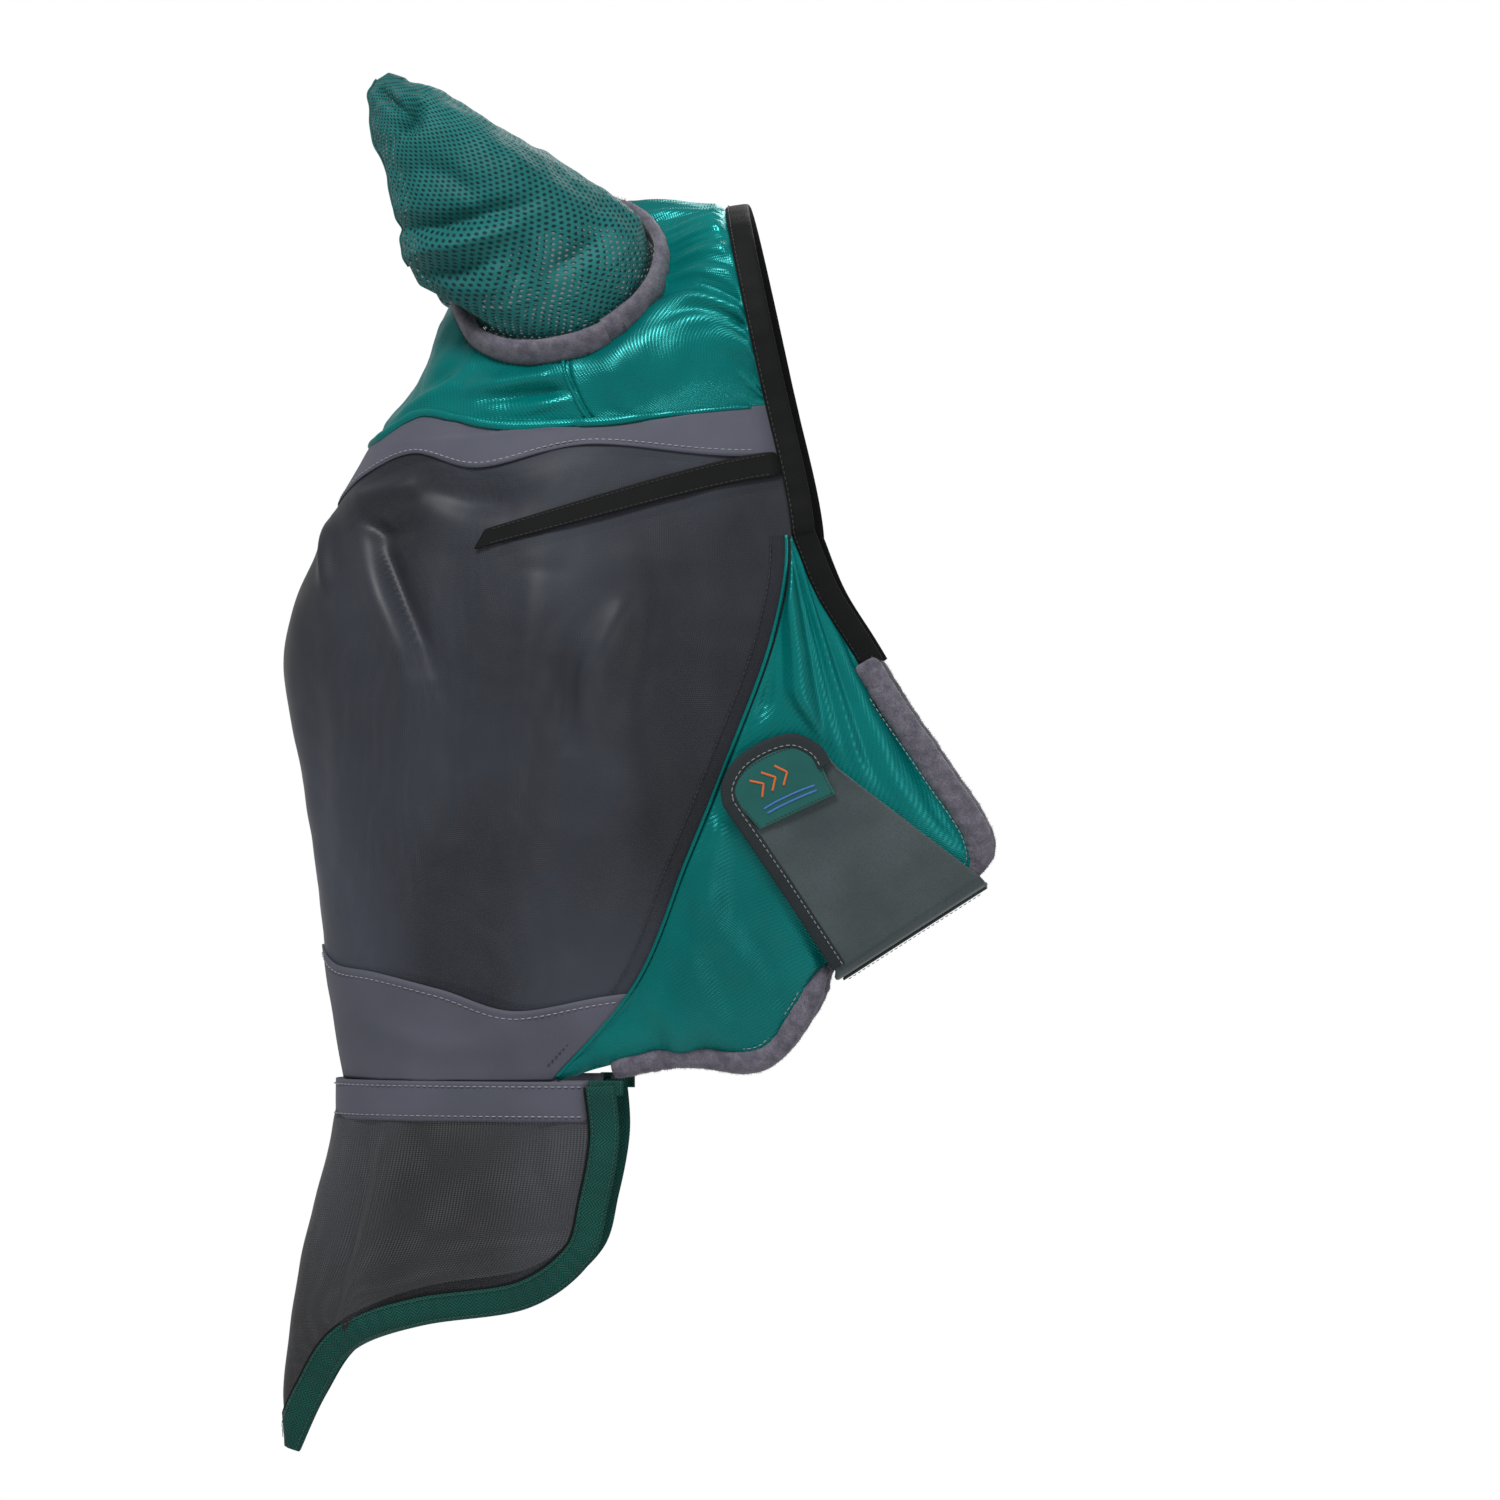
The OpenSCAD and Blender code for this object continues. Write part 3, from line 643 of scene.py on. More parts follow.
def crease(path, width, height, skew=0.0):
    """A ridge, or a valley with a negative height, along a side view path in millimetres."""
    path = [np.array(q, float) for q in path]
    lengths = [np.linalg.norm(b - a) for a, b in zip(path, path[1:])]
    total = sum(lengths)

    def at(p):
        spot = np.array([p[0], p[2]])
        best, where, side = 1e9, 0.0, 1.0
        run = 0.0
        for a, b, length in zip(path, path[1:], lengths):
            d = (b - a) / length
            f = min(1.0, max(0.0, (spot - a) @ d / length))
            gap = spot - (a + d * f * length)
            far = np.linalg.norm(gap)
            if far < best:
                best, where = far, (run + f * length) / total
                side = 1.0 if d[0] * gap[1] - d[1] * gap[0] > 0 else -1.0
            run += length
        if best > width * 2.5:
            return 0.0
        reach = width * (1 + skew * side)
        taper = math.sin(math.pi * min(0.98, max(0.02, where))) ** 0.6
        return height * math.exp(-(best / reach) ** 2) * taper

    return at


def add_all(*parts):
    return lambda p: sum(part(p) for part in parts)


def on_side(side, near, far_scale=0.8):
    """Folds drawn for the left side, a little weaker on the right."""
    return lambda p: near(p) * (1.0 if p[1] < 0 else far_scale)


# ---------- stitches and cords ----------

PARTS = []


def rides(piece, body, slot, *replaced):
    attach(piece, body)
    if replaced:
        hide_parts(*replaced)
    PARTS.append(piece)
    return piece


def resample(points, pitch):
    """Points every pitch millimetres along a polyline."""
    points = [np.asarray(p, float) for p in points]
    out, need = [points[0]], pitch
    for a, b in zip(points, points[1:]):
        length = np.linalg.norm(b - a)
        while length >= need > 0:
            a = a + (b - a) * need / length
            out.append(a)
            length = np.linalg.norm(b - a)
            need = pitch
        need -= length
    return out


def tube_mesh(name, line, radii, material, sides=10, shape=None, closed=False):
    """A tube along a line of millimetre points; shape(angle, i) scales its radius."""
    line = [np.asarray(p, float) for p in line]
    n = len(line)
    verts, faces, uvs = [], [], []
    up = None
    run = 0.0
    for i, p in enumerate(line):
        a = line[(i - 1) % n] if closed else line[max(0, i - 1)]
        b = line[(i + 1) % n] if closed else line[min(n - 1, i + 1)]
        d = unit(b - a)
        if up is None:
            up = unit(np.cross(d, [0.1, 0.9, 0.3]))
        up = unit(up - d * (up @ d))
        over = np.cross(d, up)
        if i:
            run += np.linalg.norm(p - line[i - 1])
        r = radii[i] if hasattr(radii, "__len__") else radii
        for j in range(sides):
            turn = 2 * math.pi * j / sides
            k = shape(turn, i) if shape else 1.0
            verts.append(p + r * k * (up * math.cos(turn) + over * math.sin(turn)))
            uvs.append((run, r * turn))
    rings = n if closed else n - 1
    for i in range(rings):
        for j in range(sides):
            k, m = (j + 1) % sides, (i + 1) % n
            faces.append((i * sides + j, i * sides + k, m * sides + k, m * sides + j))
    if not closed:
        for i, turn in ((0, -1), (n - 1, 1)):
            ring = [i * sides + j for j in range(sides)]
            faces.append(tuple(ring[::turn]))
    return new_object(name, verts, faces, uvs, material)


def joined(name, pieces):
    """One object from several."""
    for other in bpy.context.selected_objects:
        other.select_set(False)
    for piece in pieces:
        piece.select_set(True)
    bpy.context.view_layer.objects.active = pieces[0]
    bpy.ops.object.join()
    pieces[0].name = name
    return pieces[0]


def stitch_row(name, line, out, material, pitch=3.6, length=2.5, radius=0.34):
    """Short stitches along a line, each a bowed bead; out(point) is the way the cloth faces."""
    verts, faces, uvs = [], [], []
    spots = resample(line, pitch)
    for a, b in zip(spots, spots[1:]):
        d = unit(b - a)
        face = unit(out((a + b) / 2))
        across = np.cross(d, face)
        base = len(verts)
        for i, f in enumerate((0.0, 0.18, 0.5, 0.82, 1.0)):
            bow = math.sin(math.pi * f)
            r = radius * (0.35 + 0.65 * bow ** 0.5)
            centre = a + d * length * f + face * (bow * radius * 0.9 - radius * 0.15)
            for j in range(6):
                turn = math.pi / 3 * j
                verts.append(centre + r * (across * math.cos(turn) + face * math.sin(turn)))
                uvs.append((length * f, radius * turn))
        for i in range(4):
            for j in range(6):
                k = (j + 1) % 6
                p, q = base + i * 6, base + (i + 1) * 6
                faces.append((p + j, p + k, q + k, q + j))
        faces.append(tuple(base + j for j in range(6)))
        faces.append(tuple(base + 24 + j for j in range(5, -1, -1)))
    return new_object(name, verts, faces, uvs, material)


def sew(name, line, out, thread, size, body, slot):
    """Stitches along a line; size is their pitch, length and radius in millimetres."""
    rides(stitch_row(name, line, out, thread, *size), body, slot)


def strip(name, lines, material, thick=1.0, level=1):
    """A ribbon through several lines of the same number of points."""
    cloth = Cloth([[line[i] for line in lines] for i in range(len(lines[0]))])
    return cloth.piece(name, material, thick, level=level)


# ---------- hood panels ----------


def hood_cloth(top, bottom, columns, rows, out):
    return Cloth([
        [hood(top[i] + (bottom[i] - top[i]) * r / rows, t, out) for i, t in enumerate(columns)]
        for r in range(rows + 1)
    ])


def crown_t(s, t):
    """The crown's columns lean forward towards the ears, as its seam does."""
    f = min(1.0, max(0.0, 1 + s * 2))
    lean = float(curve(CROWN_SEAM_SHIFT, f)) * smooth((s + 1) / 0.3)
    near = abs(t) / GATHER_FROM if abs(t) < GATHER_FROM else (1 - abs(t)) / (1 - GATHER_FROM)
    return t + (1 if t > 0 else -1) * lean * max(0.0, near)


def crown_cloth(top, bottom, columns, rows, out):
    def place(r, i):
        s = top[i] + (bottom[i] - top[i]) * r / rows
        return hood(s, crown_t(s, columns[i]), out)

    return Cloth([[place(r, i) for i in range(len(columns))] for r in range(rows + 1)])


def ear_distance(p):
    away = np.array([p[0], -abs(p[1]), p[2]]) - EAR_AT
    level = away @ EAR_UP
    return np.linalg.norm(away - level * EAR_UP), level


def ear_hole(cloth):
    """Which points stay outside the ear holes; points near the edge move onto it."""
    r, c, _ = cloth.p.shape
    keep = [[True] * c for _ in range(r)]
    edge = CUFF_R + 2.5
    for i in range(r):
        for j in range(c):
            p = cloth.p[i, j]
            far, level = ear_distance(p)
            if level < -40:
                continue
            if far < edge - 3.5:
                keep[i][j] = False
            elif far < edge:
                away = np.array([p[0], -abs(p[1]), p[2]]) - EAR_AT
                flat = away - level * EAR_UP
                moved = EAR_AT + level * EAR_UP + flat * edge / far
                cloth.p[i, j] = [moved[0], moved[1] * (1 if p[1] < 0 else -1), moved[2]]
    return keep


def gathers(p, along, inward, seed):
    """Puckers drawn in by the elastic of the binding, fading inward."""
    fine = (0.55 - 2.0 * abs(hills(along / 8.0, seed))) * 4.6 * math.exp(-inward / 40)
    deep = hills(along / 13 + 0.8 * hills(inward / 45, seed + 2), seed + 1) * 7.5 * math.exp(-inward / 90)
    hold = smooth(inward / 5)
    return (fine + deep) * hold + 0.8 * rough_at(p, 22, seed)


def crown_parts():
    columns = steps(-GATHER_FROM - 0.016, GATHER_FROM + 0.016, 110)
    foot = [float(curve(BROW_TOP, abs(crown_t(0, t)))) for t in columns]
    cloth = crown_cloth([CROWN_SPLIT - 0.07] * 111, foot, columns, 62, PANEL / 2 - 0.5)
    cloth.facing_out((-60, 0, -150))
    folds = on_side(-1, add_all(
        crease([[-126, -91], [-90, -86], [-50, -82]], 4.0, 3.2, 0.3),
        crease([[-120, -97], [-85, -93], [-52, -90]], 3.0, -2.4),
        crease([[-160, -98], [-140, -84], [-126, -74]], 3.5, -1.8),
        crease([[-172, -112], [-150, -96], [-128, -84]], 3.5, 1.6),
        crease([[-100, -104], [-76, -98], [-56, -96]], 2.5, 1.6),
    ))

    def shape(p, i, j):
        edge = smooth(min(i, 62 - i) / 7) * smooth(min(j, 110 - j) / 5)
        return (1.7 * folds(p) + 2.0 * rough_at(p, 26, 3) + 0.9 * rough_at(p, 11, 4)) * edge

    cloth.push(shape)
    front = cloth.piece("crown_front", SATIN, 0.7, ear_hole(cloth))
    rides(front, "mask", "stretch_satin", "crown_panel")

    middle = steps(-GATHER_FROM, GATHER_FROM, 130)
    columns = steps(-1, -GATHER_FROM, 26)[:-1] + middle + steps(GATHER_FROM, 1, 26)[1:]
    sides = [abs(t) > GATHER_FROM for t in columns]
    split_row, rows = 30, 62

    def place(r, t):
        s = mix(-1.0, CROWN_SPLIT, r / split_row)
        if r > split_row:
            foot = float(curve(BROW_TOP, abs(crown_t(0, t))))
            s = mix(CROWN_SPLIT, foot, (r - split_row) / (rows - split_row))
        return hood(s, crown_t(s, t), PANEL / 2)

    cloth = Cloth([[place(r, t) for t in columns] for r in range(rows + 1)])
    cloth.facing_out((-20, 0, -150))
    lengths = cloth.u

    def shape_poll(p, i, j):
        hold = smooth((rows - i) / 5)
        if sides[j]:
            from_seam = min(abs(j - 26), abs(j - len(columns) + 27))
            hold *= mix(1.0, smooth(from_seam / 4), smooth((i - split_row + 4) / 4))
        else:
            hold *= smooth((split_row - i) / 5)
        return gathers(p, lengths[j], cloth.v[i], 5) * hold

    cloth.push(shape_poll)
    keep = ear_hole(cloth)
    for row in keep[split_row + 1:]:
        for j, side in enumerate(sides):
            row[j] = row[j] and side
    poll = cloth.piece("poll_gathered", SATIN, 0.7, keep)
    rides(poll, "mask", "stretch_satin", "poll_panel")

    for side in (-1, 1):
        seam = [hood(s, crown_t(s, side * GATHER_FROM), PANEL + 0.4) for s in steps(-0.44, 0.01, 30)]
        ridge = tube_mesh(f"crown_seam_{'l' if side < 0 else 'r'}", seam, 1.1, SATIN, 8)
        rides(ridge, "mask", "stretch_satin")
    welt = [hood(float(curve(BROW_TOP, abs(t))) - 0.012, t, PANEL + 0.3) for t in steps(-0.995, 0.995, 200)]
    plump = [1.2 + 1.5 * smooth(abs(t) * 5) * smooth((1 - abs(t)) * 6) for t in steps(-0.995, 0.995, 200)]
    rolled = tube_mesh("brow_welt", welt, plump, SATIN, 12, lambda a, i: 1 + 0.2 * hills(i / 5.0, 9))
    rides(rolled, "mask", "stretch_satin")


FACE_COLUMNS = steps(-1, 1, 180)


def edge_at(edge, step=0.0):
    return [float(curve(edge, abs(t))) + step for t in FACE_COLUMNS]


MESH_FOLDS = on_side(-1, add_all(
    crease([[-178, -158], [-166, -190], [-150, -228], [-142, -252]], 6, -6.0, 0.4),
    crease([[-188, -166], [-175, -198], [-160, -232], [-154, -258]], 7, 3.5),
    crease([[-201, -159], [-203, -180], [-202, -199]], 4, 4.0),
    crease([[-65, -233], [-64, -262], [-62, -291]], 8, -6.0, -0.4),
    crease([[-33, -204], [-46, -222], [-58, -245], [-70, -300]], 8, 5.0, 0.3),
    crease([[-150, -142], [-120, -150], [-90, -152]], 9, -4.0),
    crease([[-190, -150], [-170, -146], [-150, -140]], 5, 3.0),
    crease([[-186, -160], [-168, -168], [-150, -164]], 5, -3.0),
    crease([[-212, -230], [-208, -300], [-205, -360]], 9, -2.5),
    crease([[-120, -300], [-112, -350], [-108, -390]], 14, -3.5),
    crease([[-84, -186], [-90, -240], [-98, -320]], 11, 5.0, 0.3),
    crease([[-128, -170], [-126, -230], [-134, -300], [-142, -380]], 15, -4.5),
    crease([[-20, -180], [-26, -240], [-44, -320]], 11, -4.0),
    crease([[-150, -240], [-160, -310], [-158, -380]], 12, 3.5, -0.3),
    crease([[-20, -250], [-50, -330], [-85, -400]], 12, 2.5),
), 0.75)


def face_shape(rows, weight=1.0):
    def shape(p, i, j):
        edge = smooth(min(i, rows - i) / 6)
        sides = smooth((1 - abs(FACE_COLUMNS[j])) * 14)
        soft = 1.6 * rough_at(p, 48, 6) + 0.5 * rough_at(p, 18, 7)
        return (1.35 * MESH_FOLDS(p) * weight + soft) * edge * sides

    return shape


def face_parts():
    n = len(FACE_COLUMNS)
    over = PANEL / 2 + 0.5
    band = hood_cloth(edge_at(BROW_TOP), edge_at(BROW_EDGE), FACE_COLUMNS, 14, over)
    band.facing_out((-60, 0, -200))
    band.push(lambda p, i, j: 0.7 * rough_at(p, 24, 8) * smooth(i / 3))
    brow = band.piece("brow_band_cloth", BAND, 0.9)
    rides(brow, "mask", "grey_band", "brow_band")

    rows = 130
    top, foot = edge_at(BROW_EDGE, -0.008), edge_at(NOSE_EDGE, 0.008)
    face = hood_cloth(top, foot, FACE_COLUMNS, rows, PANEL / 2 - 0.4)
    face.facing_out((-60, 0, -260)).push(face_shape(rows))
    mesh = face.piece("face_mesh", EYE_MESH)
    rides(mesh, "mask", "fine_mesh", "eye_mesh")

    nose = hood_cloth(edge_at(NOSE_EDGE), [1.0] * n, FACE_COLUMNS, 20, over)
    nose.facing_out((-100, 0, -430))
    nose_fold = crease([[-170, -440], [-140, -448], [-110, -446]], 7, 1.8)
    nose.push(lambda p, i, j: (0.9 * rough_at(p, 26, 12) + nose_fold(p)) * smooth(i / 4))
    nose_cloth = nose.piece("nose_band_cloth", BAND, 0.9)
    rides(nose_cloth, "mask", "grey_band", "nose_band")

    hem = Cloth([[nose_wall(z, t, 0.4) for t in steps(-0.97, 0.97, 90)] for z in steps(-465.8, -484, 6)])
    hem_cloth = hem.facing_out((-110, 0, -475)).piece("nose_hem_cloth", BAND, 0.9)
    rides(hem_cloth, "mask", "grey_band", "nose_hem")

    out = lambda p: p - np.array([-60, 0, p[2]])
    for name, edge, gap in (("brow_stitches", BROW_EDGE, -0.008), ("nose_stitches", NOSE_EDGE, 0.012)):
        line = [hood(float(curve(edge, abs(t))) + gap, t, PANEL / 2 + 1.15) for t in steps(-0.99, 0.99, 220)]
        rides(stitch_row(name, line, out, THREAD_GREY), "mask", "grey_band")


def dart_line(side, f, across, out):
    s = mix(0.083, 0.175, f)
    t = mix(1.0, 0.63, f)
    return hood(s - 0.0285 * across, side * t, out)


def dart_parts(side):
    tag = "l" if side < 0 else "r"
    lines = []
    for a in steps(-0.5, 0.5, 6):
        slant = 0.035 * (a + 0.5)
        lines.append([dart_line(side, f, a, PANEL / 2 + 1.0) for f in steps(0.0, 1.0 - slant, 40)])
    tape = strip(f"dart_tape_{tag}", lines, TAPE, 1.0)
    rides(tape, "mask", "black_tape", f"eye_dart_{'left' if side < 0 else 'right'}")
    for k, a in enumerate((-0.38, 0.38)):
        line = [dart_line(side, f, a, PANEL / 2 + 1.6) for f in steps(0.01, 0.95, 60)]
        sew(f"dart_stitches_{tag}{k}", line, lambda p: [0, side, 0],
            THREAD_DARK, (2.8, 2.0, 0.28), "mask", "black_tape")


def seam_parts(side):
    tag = "l" if side < 0 else "r"
    name = "left" if side < 0 else "right"

    def inset(s, d):
        share = 1 - d / np.linalg.norm(curve(FACE_LINE, s) - curve(SEAM_LINE, s))
        power = CROWN_POWER + (NOSE_POWER - CROWN_POWER) * s
        return math.acos((1 - share) ** (power / 2)) / (math.pi / 2)

    along = steps(CHEEK_START, 0.985, 80)
    lines = [[hood(s, side * inset(s, d), -0.9) for s in along] for d in steps(0.4, 12, 5)]
    facing = strip(f"seam_facing_{tag}", lines, MESH_HEM, 0.0, 0)
    rides(facing, "mask", "mesh_hem", f"seam_tape_{name}")
    line = [hood(s, side * inset(s, 11), PANEL / 2 + 0.3) for s in steps(CHEEK_START + 0.01, 0.97, 160)]
    sew(f"facing_stitches_{tag}", line, lambda p: [-0.2, side, 0],
        THREAD_DARK, (3.0, 2.2, 0.32), "mask", "mesh_hem")
    edge = [hood(s, side * 0.999, PANEL / 2 + 0.7) for s in steps(CHEEK_START, 0.99, 120)]
    rides(tube_mesh(f"cheek_seam_{tag}", edge, 1.0, SATIN, 8), "mask", "stretch_satin")


def cheek_parts(side):
    tag = "l" if side < 0 else "r"
    rows, cols = 150, 56
    across = steps(0, 1, cols)
    cloth = Cloth([[cheek(v, q, side, PANEL / 2) for q in across] for v in steps(0.005, 0.992, rows)])
    cloth.facing_out((40, 0, -330))
    corner = np.array([47.0, -150.0])
    seed = 20 if side < 0 else 31

    def shape(p, i, j):
        spot = np.array([p[0], p[2]]) - corner
        reach = np.linalg.norm(spot)
        angle = math.atan2(spot[0], -spot[1])
        ray = hills(angle * 9.5 + 0.25 * hills(reach / 60, seed), seed) * 10.0
        ray += hills(angle * 21, seed + 1) * 4.4
        fade = smooth(reach / 45) * (0.35 + 0.65 * math.exp(-((reach - 90) / 110) ** 2))
        low = hills((p[0] * 0.75 + p[2] * 0.4) / 13, seed + 2) * 2.4 * smooth((-p[2] - 330) / 60)
        edge = smooth(min(j, cols - j) / 4) * smooth(min(i, rows - i) / 4)
        spot = np.array([p[0] - 116, p[2] + 381.5])
        up = spot @ STRAP_UP
        wide = 47 - 16 * min(1.0, max(0.0, up / 104))
        across = abs(spot[0] * STRAP_UP[1] - spot[1] * STRAP_UP[0])
        under = 1 - smooth((wide + 10 - across) / 9) * smooth((142 - up) / 9)
        return (ray * fade + low + 0.7 * rough_at(p, 16, seed)) * edge * (0.08 + 0.92 * under)

    cloth.push(shape)
    panel = cloth.piece(f"cheek_cloth_{tag}", SATIN, 0.7)
    rides(panel, "mask", "stretch_satin", f"cheek_panel_{'left' if side < 0 else 'right'}")


# ---------- binding and fleece ----------


def binding_path():
    def side_path(side):
        low = [cheek(v, 1, side) for v in steps(0.185, 0, 24)]
        high = []
        for s in steps(CHEEK_START, 0, 24)[1:]:
            p = curve(SEAM_LINE, s)
            high.append(np.array([p[0], side * float(curve(SEAM_HALF, s)), p[1]]))
        return low + high

    arch = [hood(-1, t) for t in steps(-0.985, 0.985, 150)]
    return side_path(-1) + arch + side_path(1)[::-1]


def binding_parts():
    path = resample(binding_path(), 3.0)
    back = unit([0.985, 0, 0.17])
    rows, low = [], []
    section = [
        (-0.2, 1.15), (3.2, 1.4), (8.0, 1.25), (12.0, 1.1),
        (13.4, 0.0), (12.0, -1.1), (6.0, -1.2), (-0.2, -1.1),
    ]
    for i, p in enumerate(path):
        ahead = unit(path[min(len(path) - 1, i + 1)] - path[max(0, i - 1)])
        out = unit(np.cross(back, ahead))
        along = unit(back - ahead * (back @ ahead))
        pinch = 1 + 0.14 * hills(i / 1.7, 41)
        wave_out = 0.55 * hills(i / 2.4, 42)
        foot = p + out * (PANEL / 2 + wave_out)
        rows.append([foot + along * a + out * b * pinch for a, b in section + section[:1]])
        low.append(foot + along * 1.6 + out * 1.5 * pinch)
    tape = Cloth(rows, closed=True).piece("binding_tape", TAPE)
    tape.modifiers.new("smooth", "SUBSURF").render_levels = 1
    rides(tape, "mask", "black_tape", "poll_binding")
    face = lambda p: p - np.array([-60, 0, -150])
    sew("binding_stitches", low[2:-2], face, THREAD_DARK, (3.0, 2.2, 0.3), "mask", "black_tape")


def fuzz(name, base, count, length, body, seed):
    """Short curved fibres standing on a fleece roll."""
    rng = random.Random(seed)
    mesh = base.data
    faces = [(f, f.area) for f in mesh.polygons]
    total = sum(a for _, a in faces)
    verts, tris = [], []
    for f, area in faces:
        many = count * area / total
        many = int(many) + (1 if rng.random() < many - int(many) else 0)
        corners = [np.array(mesh.vertices[k].co) / MM for k in f.vertices]
        normal = np.array(f.normal)
        for _ in range(many):
            a, b = rng.random(), rng.random()
            far = corners[-2 if len(corners) > 3 else -1]
            p = mix(mix(corners[0], corners[1], a), mix(corners[-1], far, a), b)
            lean = unit(normal + np.array([rng.uniform(-0.9, 0.9) for _ in range(3)]))
            tip = p + (normal * 0.5 + lean * 0.5) * length * rng.uniform(0.5, 1.15)
            wide = unit(np.cross(lean, [0.3, 0.5, 0.8])) * 0.11
            k = len(verts)
            verts += [p - wide, p + wide, tip]
            tris.append((k, k + 1, k + 2))
    piece = new_object(name, verts, tris, [(v[0], v[2]) for v in verts], FLEECE)
    rides(piece, body, "fleece")
    return piece


def pile(i, turn, seed):
    return 1 + 0.09 * hills(i / 1.6 + turn * 1.3, seed) + 0.05 * hills(i / 0.7 + turn * 3, seed + 1)


def cuff_parts(side):
    """The fleece cuff: a flat folded ring, lapped on the outside."""
    tag = "l" if side < 0 else "r"
    n = 150
    rows = []
    section = [
        (0.2, -5.6), (0.0, 4.0), (0.4, 10.8), (3.2, 13.4),
        (6.4, 11.6), (7.5, 5.0), (7.2, -2.5), (4.6, -6.2),
    ]
    lap = math.radians(-75)
    for i in range(n + 1):
        a = lap + 2 * math.pi * i / n
        step = 1.2 * smooth(i / 14) - 1.2 * smooth((n - i) / 14) if i < 15 or i > n - 15 else 0.0
        ray = EAR_FORE * math.cos(a) + EAR_IN * math.sin(a)
        soft = 0.5 * hills(i / 6.0, 50) + 0.5 * step
        row = []
        for k, (r, h) in enumerate(section + section[:1]):
            swell = 1 + 0.07 * hills(i / 3.0 + k, 51 + k)
            row.append(EAR_AT + ray * (CUFF_R + soft + r * swell) + EAR_UP * (h + 0.6 * hills(i / 5.0, 52)))
        rows.append(row if side < 0 else mirrored(row))
    ring = Cloth(rows, closed=True).piece(f"cuff_fleece_{tag}", FLEECE)
    ring.modifiers.new("smooth", "SUBSURF").render_levels = 1
    rides(ring, "mask", "fleece", f"ear_cuff_{'left' if side < 0 else 'right'}")
    fuzz(f"cuff_fuzz_{tag}", ring, 9000, 1.1, "mask", 60)
    line = []
    for i in range(8, n - 3):
        a = lap + 2 * math.pi * i / n
        ray = EAR_FORE * math.cos(a) + EAR_IN * math.sin(a)
        reach = CUFF_R + 7.9 + 0.5 * hills(i / 6.0, 50)
        line.append(EAR_AT + ray * reach + EAR_UP * (-0.5 + 0.6 * hills(i / 5.0, 52)))
    line = line if side < 0 else mirrored(line)
    sew(f"cuff_stitches_{tag}", line, lambda p: p - (EAR_AT * [1, -side, 1]),
        THREAD_DARK, (3.4, 2.2, 0.25), "mask", "fleece")
    tack = lap + 2 * math.pi * 4 / n
    ray = EAR_FORE * math.cos(tack) + EAR_IN * math.sin(tack)
    bar = [EAR_AT + ray * (CUFF_R + 8.2) + EAR_UP * h for h in steps(-3.5, 9, 12)]
    bar = bar if side < 0 else mirrored(bar)
    sew(f"cuff_lap_{tag}", bar, lambda p: p - (EAR_AT * [1, -side, 1]),
        THREAD_DARK, (2.2, 1.8, 0.3), "mask", "fleece")


def cheek_out(v):
    along = unit(curve(CHEEK_LINE, v + 0.01) - curve(CHEEK_LINE, v - 0.01))
    return np.array([-along[1], along[0]])


def roll_parts(side, kind, v0, v1, r, n, seed):
    """A fleece roll folded over the edge of the cheek, with a stitched inner edge."""
    tag = "l" if side < 0 else "r"
    line, inner, radii = [], [], []
    for i, v in enumerate(steps(v0, v1, n)):
        thin = 1 - 0.5 * smooth((v - 0.40) / 0.05) * smooth((0.66 - v) / 0.05)
        p = curve(CHEEK_LINE, v) + cheek_out(v) * (r * 0.55 * thin)
        half = float(curve(CHEEK_HALF, v)) + PANEL / 2
        line.append(np.array([p[0], side * half, p[1]]))
        end = min(i, n - i) / 3
        radii.append(r * thin * (0.78 + 0.22 * smooth(end)) * (1 + 0.06 * hills(i / 3.0, seed)))
        q = curve(CHEEK_LINE, v) - cheek_out(v) * 4.5
        inner.append(np.array([q[0], side * (half + 2.2), q[1]]))

    def shape(turn, i):
        flat = 1.0 + 0.42 * abs(math.cos(turn - flat_turn[0])) ** 2
        return flat * pile(i, turn, seed)

    ahead = unit(line[1] - line[0])
    up = unit(np.cross(ahead, [0.1, 0.9, 0.3]))
    over = np.cross(ahead, up)
    edge_dir = np.array([cheek_out(v0)[0], 0, cheek_out(v0)[1]])
    flat_turn = [math.atan2(edge_dir @ over, edge_dir @ up)]
    roll = tube_mesh(f"{kind}_roll_{tag}", line, [x * 0.8 for x in radii], FLEECE, 20, shape)
    roll.modifiers.new("smooth", "SUBSURF").render_levels = 1
    rides(roll, "mask", "fleece", f"{kind}_fleece_{'left' if side < 0 else 'right'}")
    fuzz(f"{kind}_fuzz_{tag}", roll, 5000, 1.1, "mask", seed)
    sew(f"{kind}_stitches_{tag}", inner, lambda p: [0, side, 0],
        THREAD_GREY, (3.2, 2.2, 0.3), "mask", "fleece")


# ---------- ear covers ----------


def ear_ring(u, sides):
    """One ring of a cover; u below 0 is the foot inside the cuff."""
    ring = []
    if u < 0:
        height = -3 + 17 * (1 + u)
        for j in range(sides + 1):
            a = 2 * math.pi * j / sides
            ray = EAR_FORE * math.cos(a) + EAR_IN * math.sin(a)
            ring.append(EAR_AT + EAR_UP * height + ray * (EAR_R - 0.6))
        return ring
    front, back = curve(EAR_FRONT, u), curve(EAR_BACK, u)
    middle = np.array([(front[0] + back[0]) / 2, float(curve(EAR_MIDDLE, u)), (front[1] + back[1]) / 2])
    long = np.array([(back[0] - front[0]) / 2, 0, (back[1] - front[1]) / 2])
    deep = float(curve(EAR_DEPTH, u)) * unit(mix(EAR_IN, [0, 1, 0], u))
    for j in range(sides + 1):
        a = 2 * math.pi * j / sides
        ring.append(middle + long * math.cos(a) + deep * math.sin(a))
    return ring


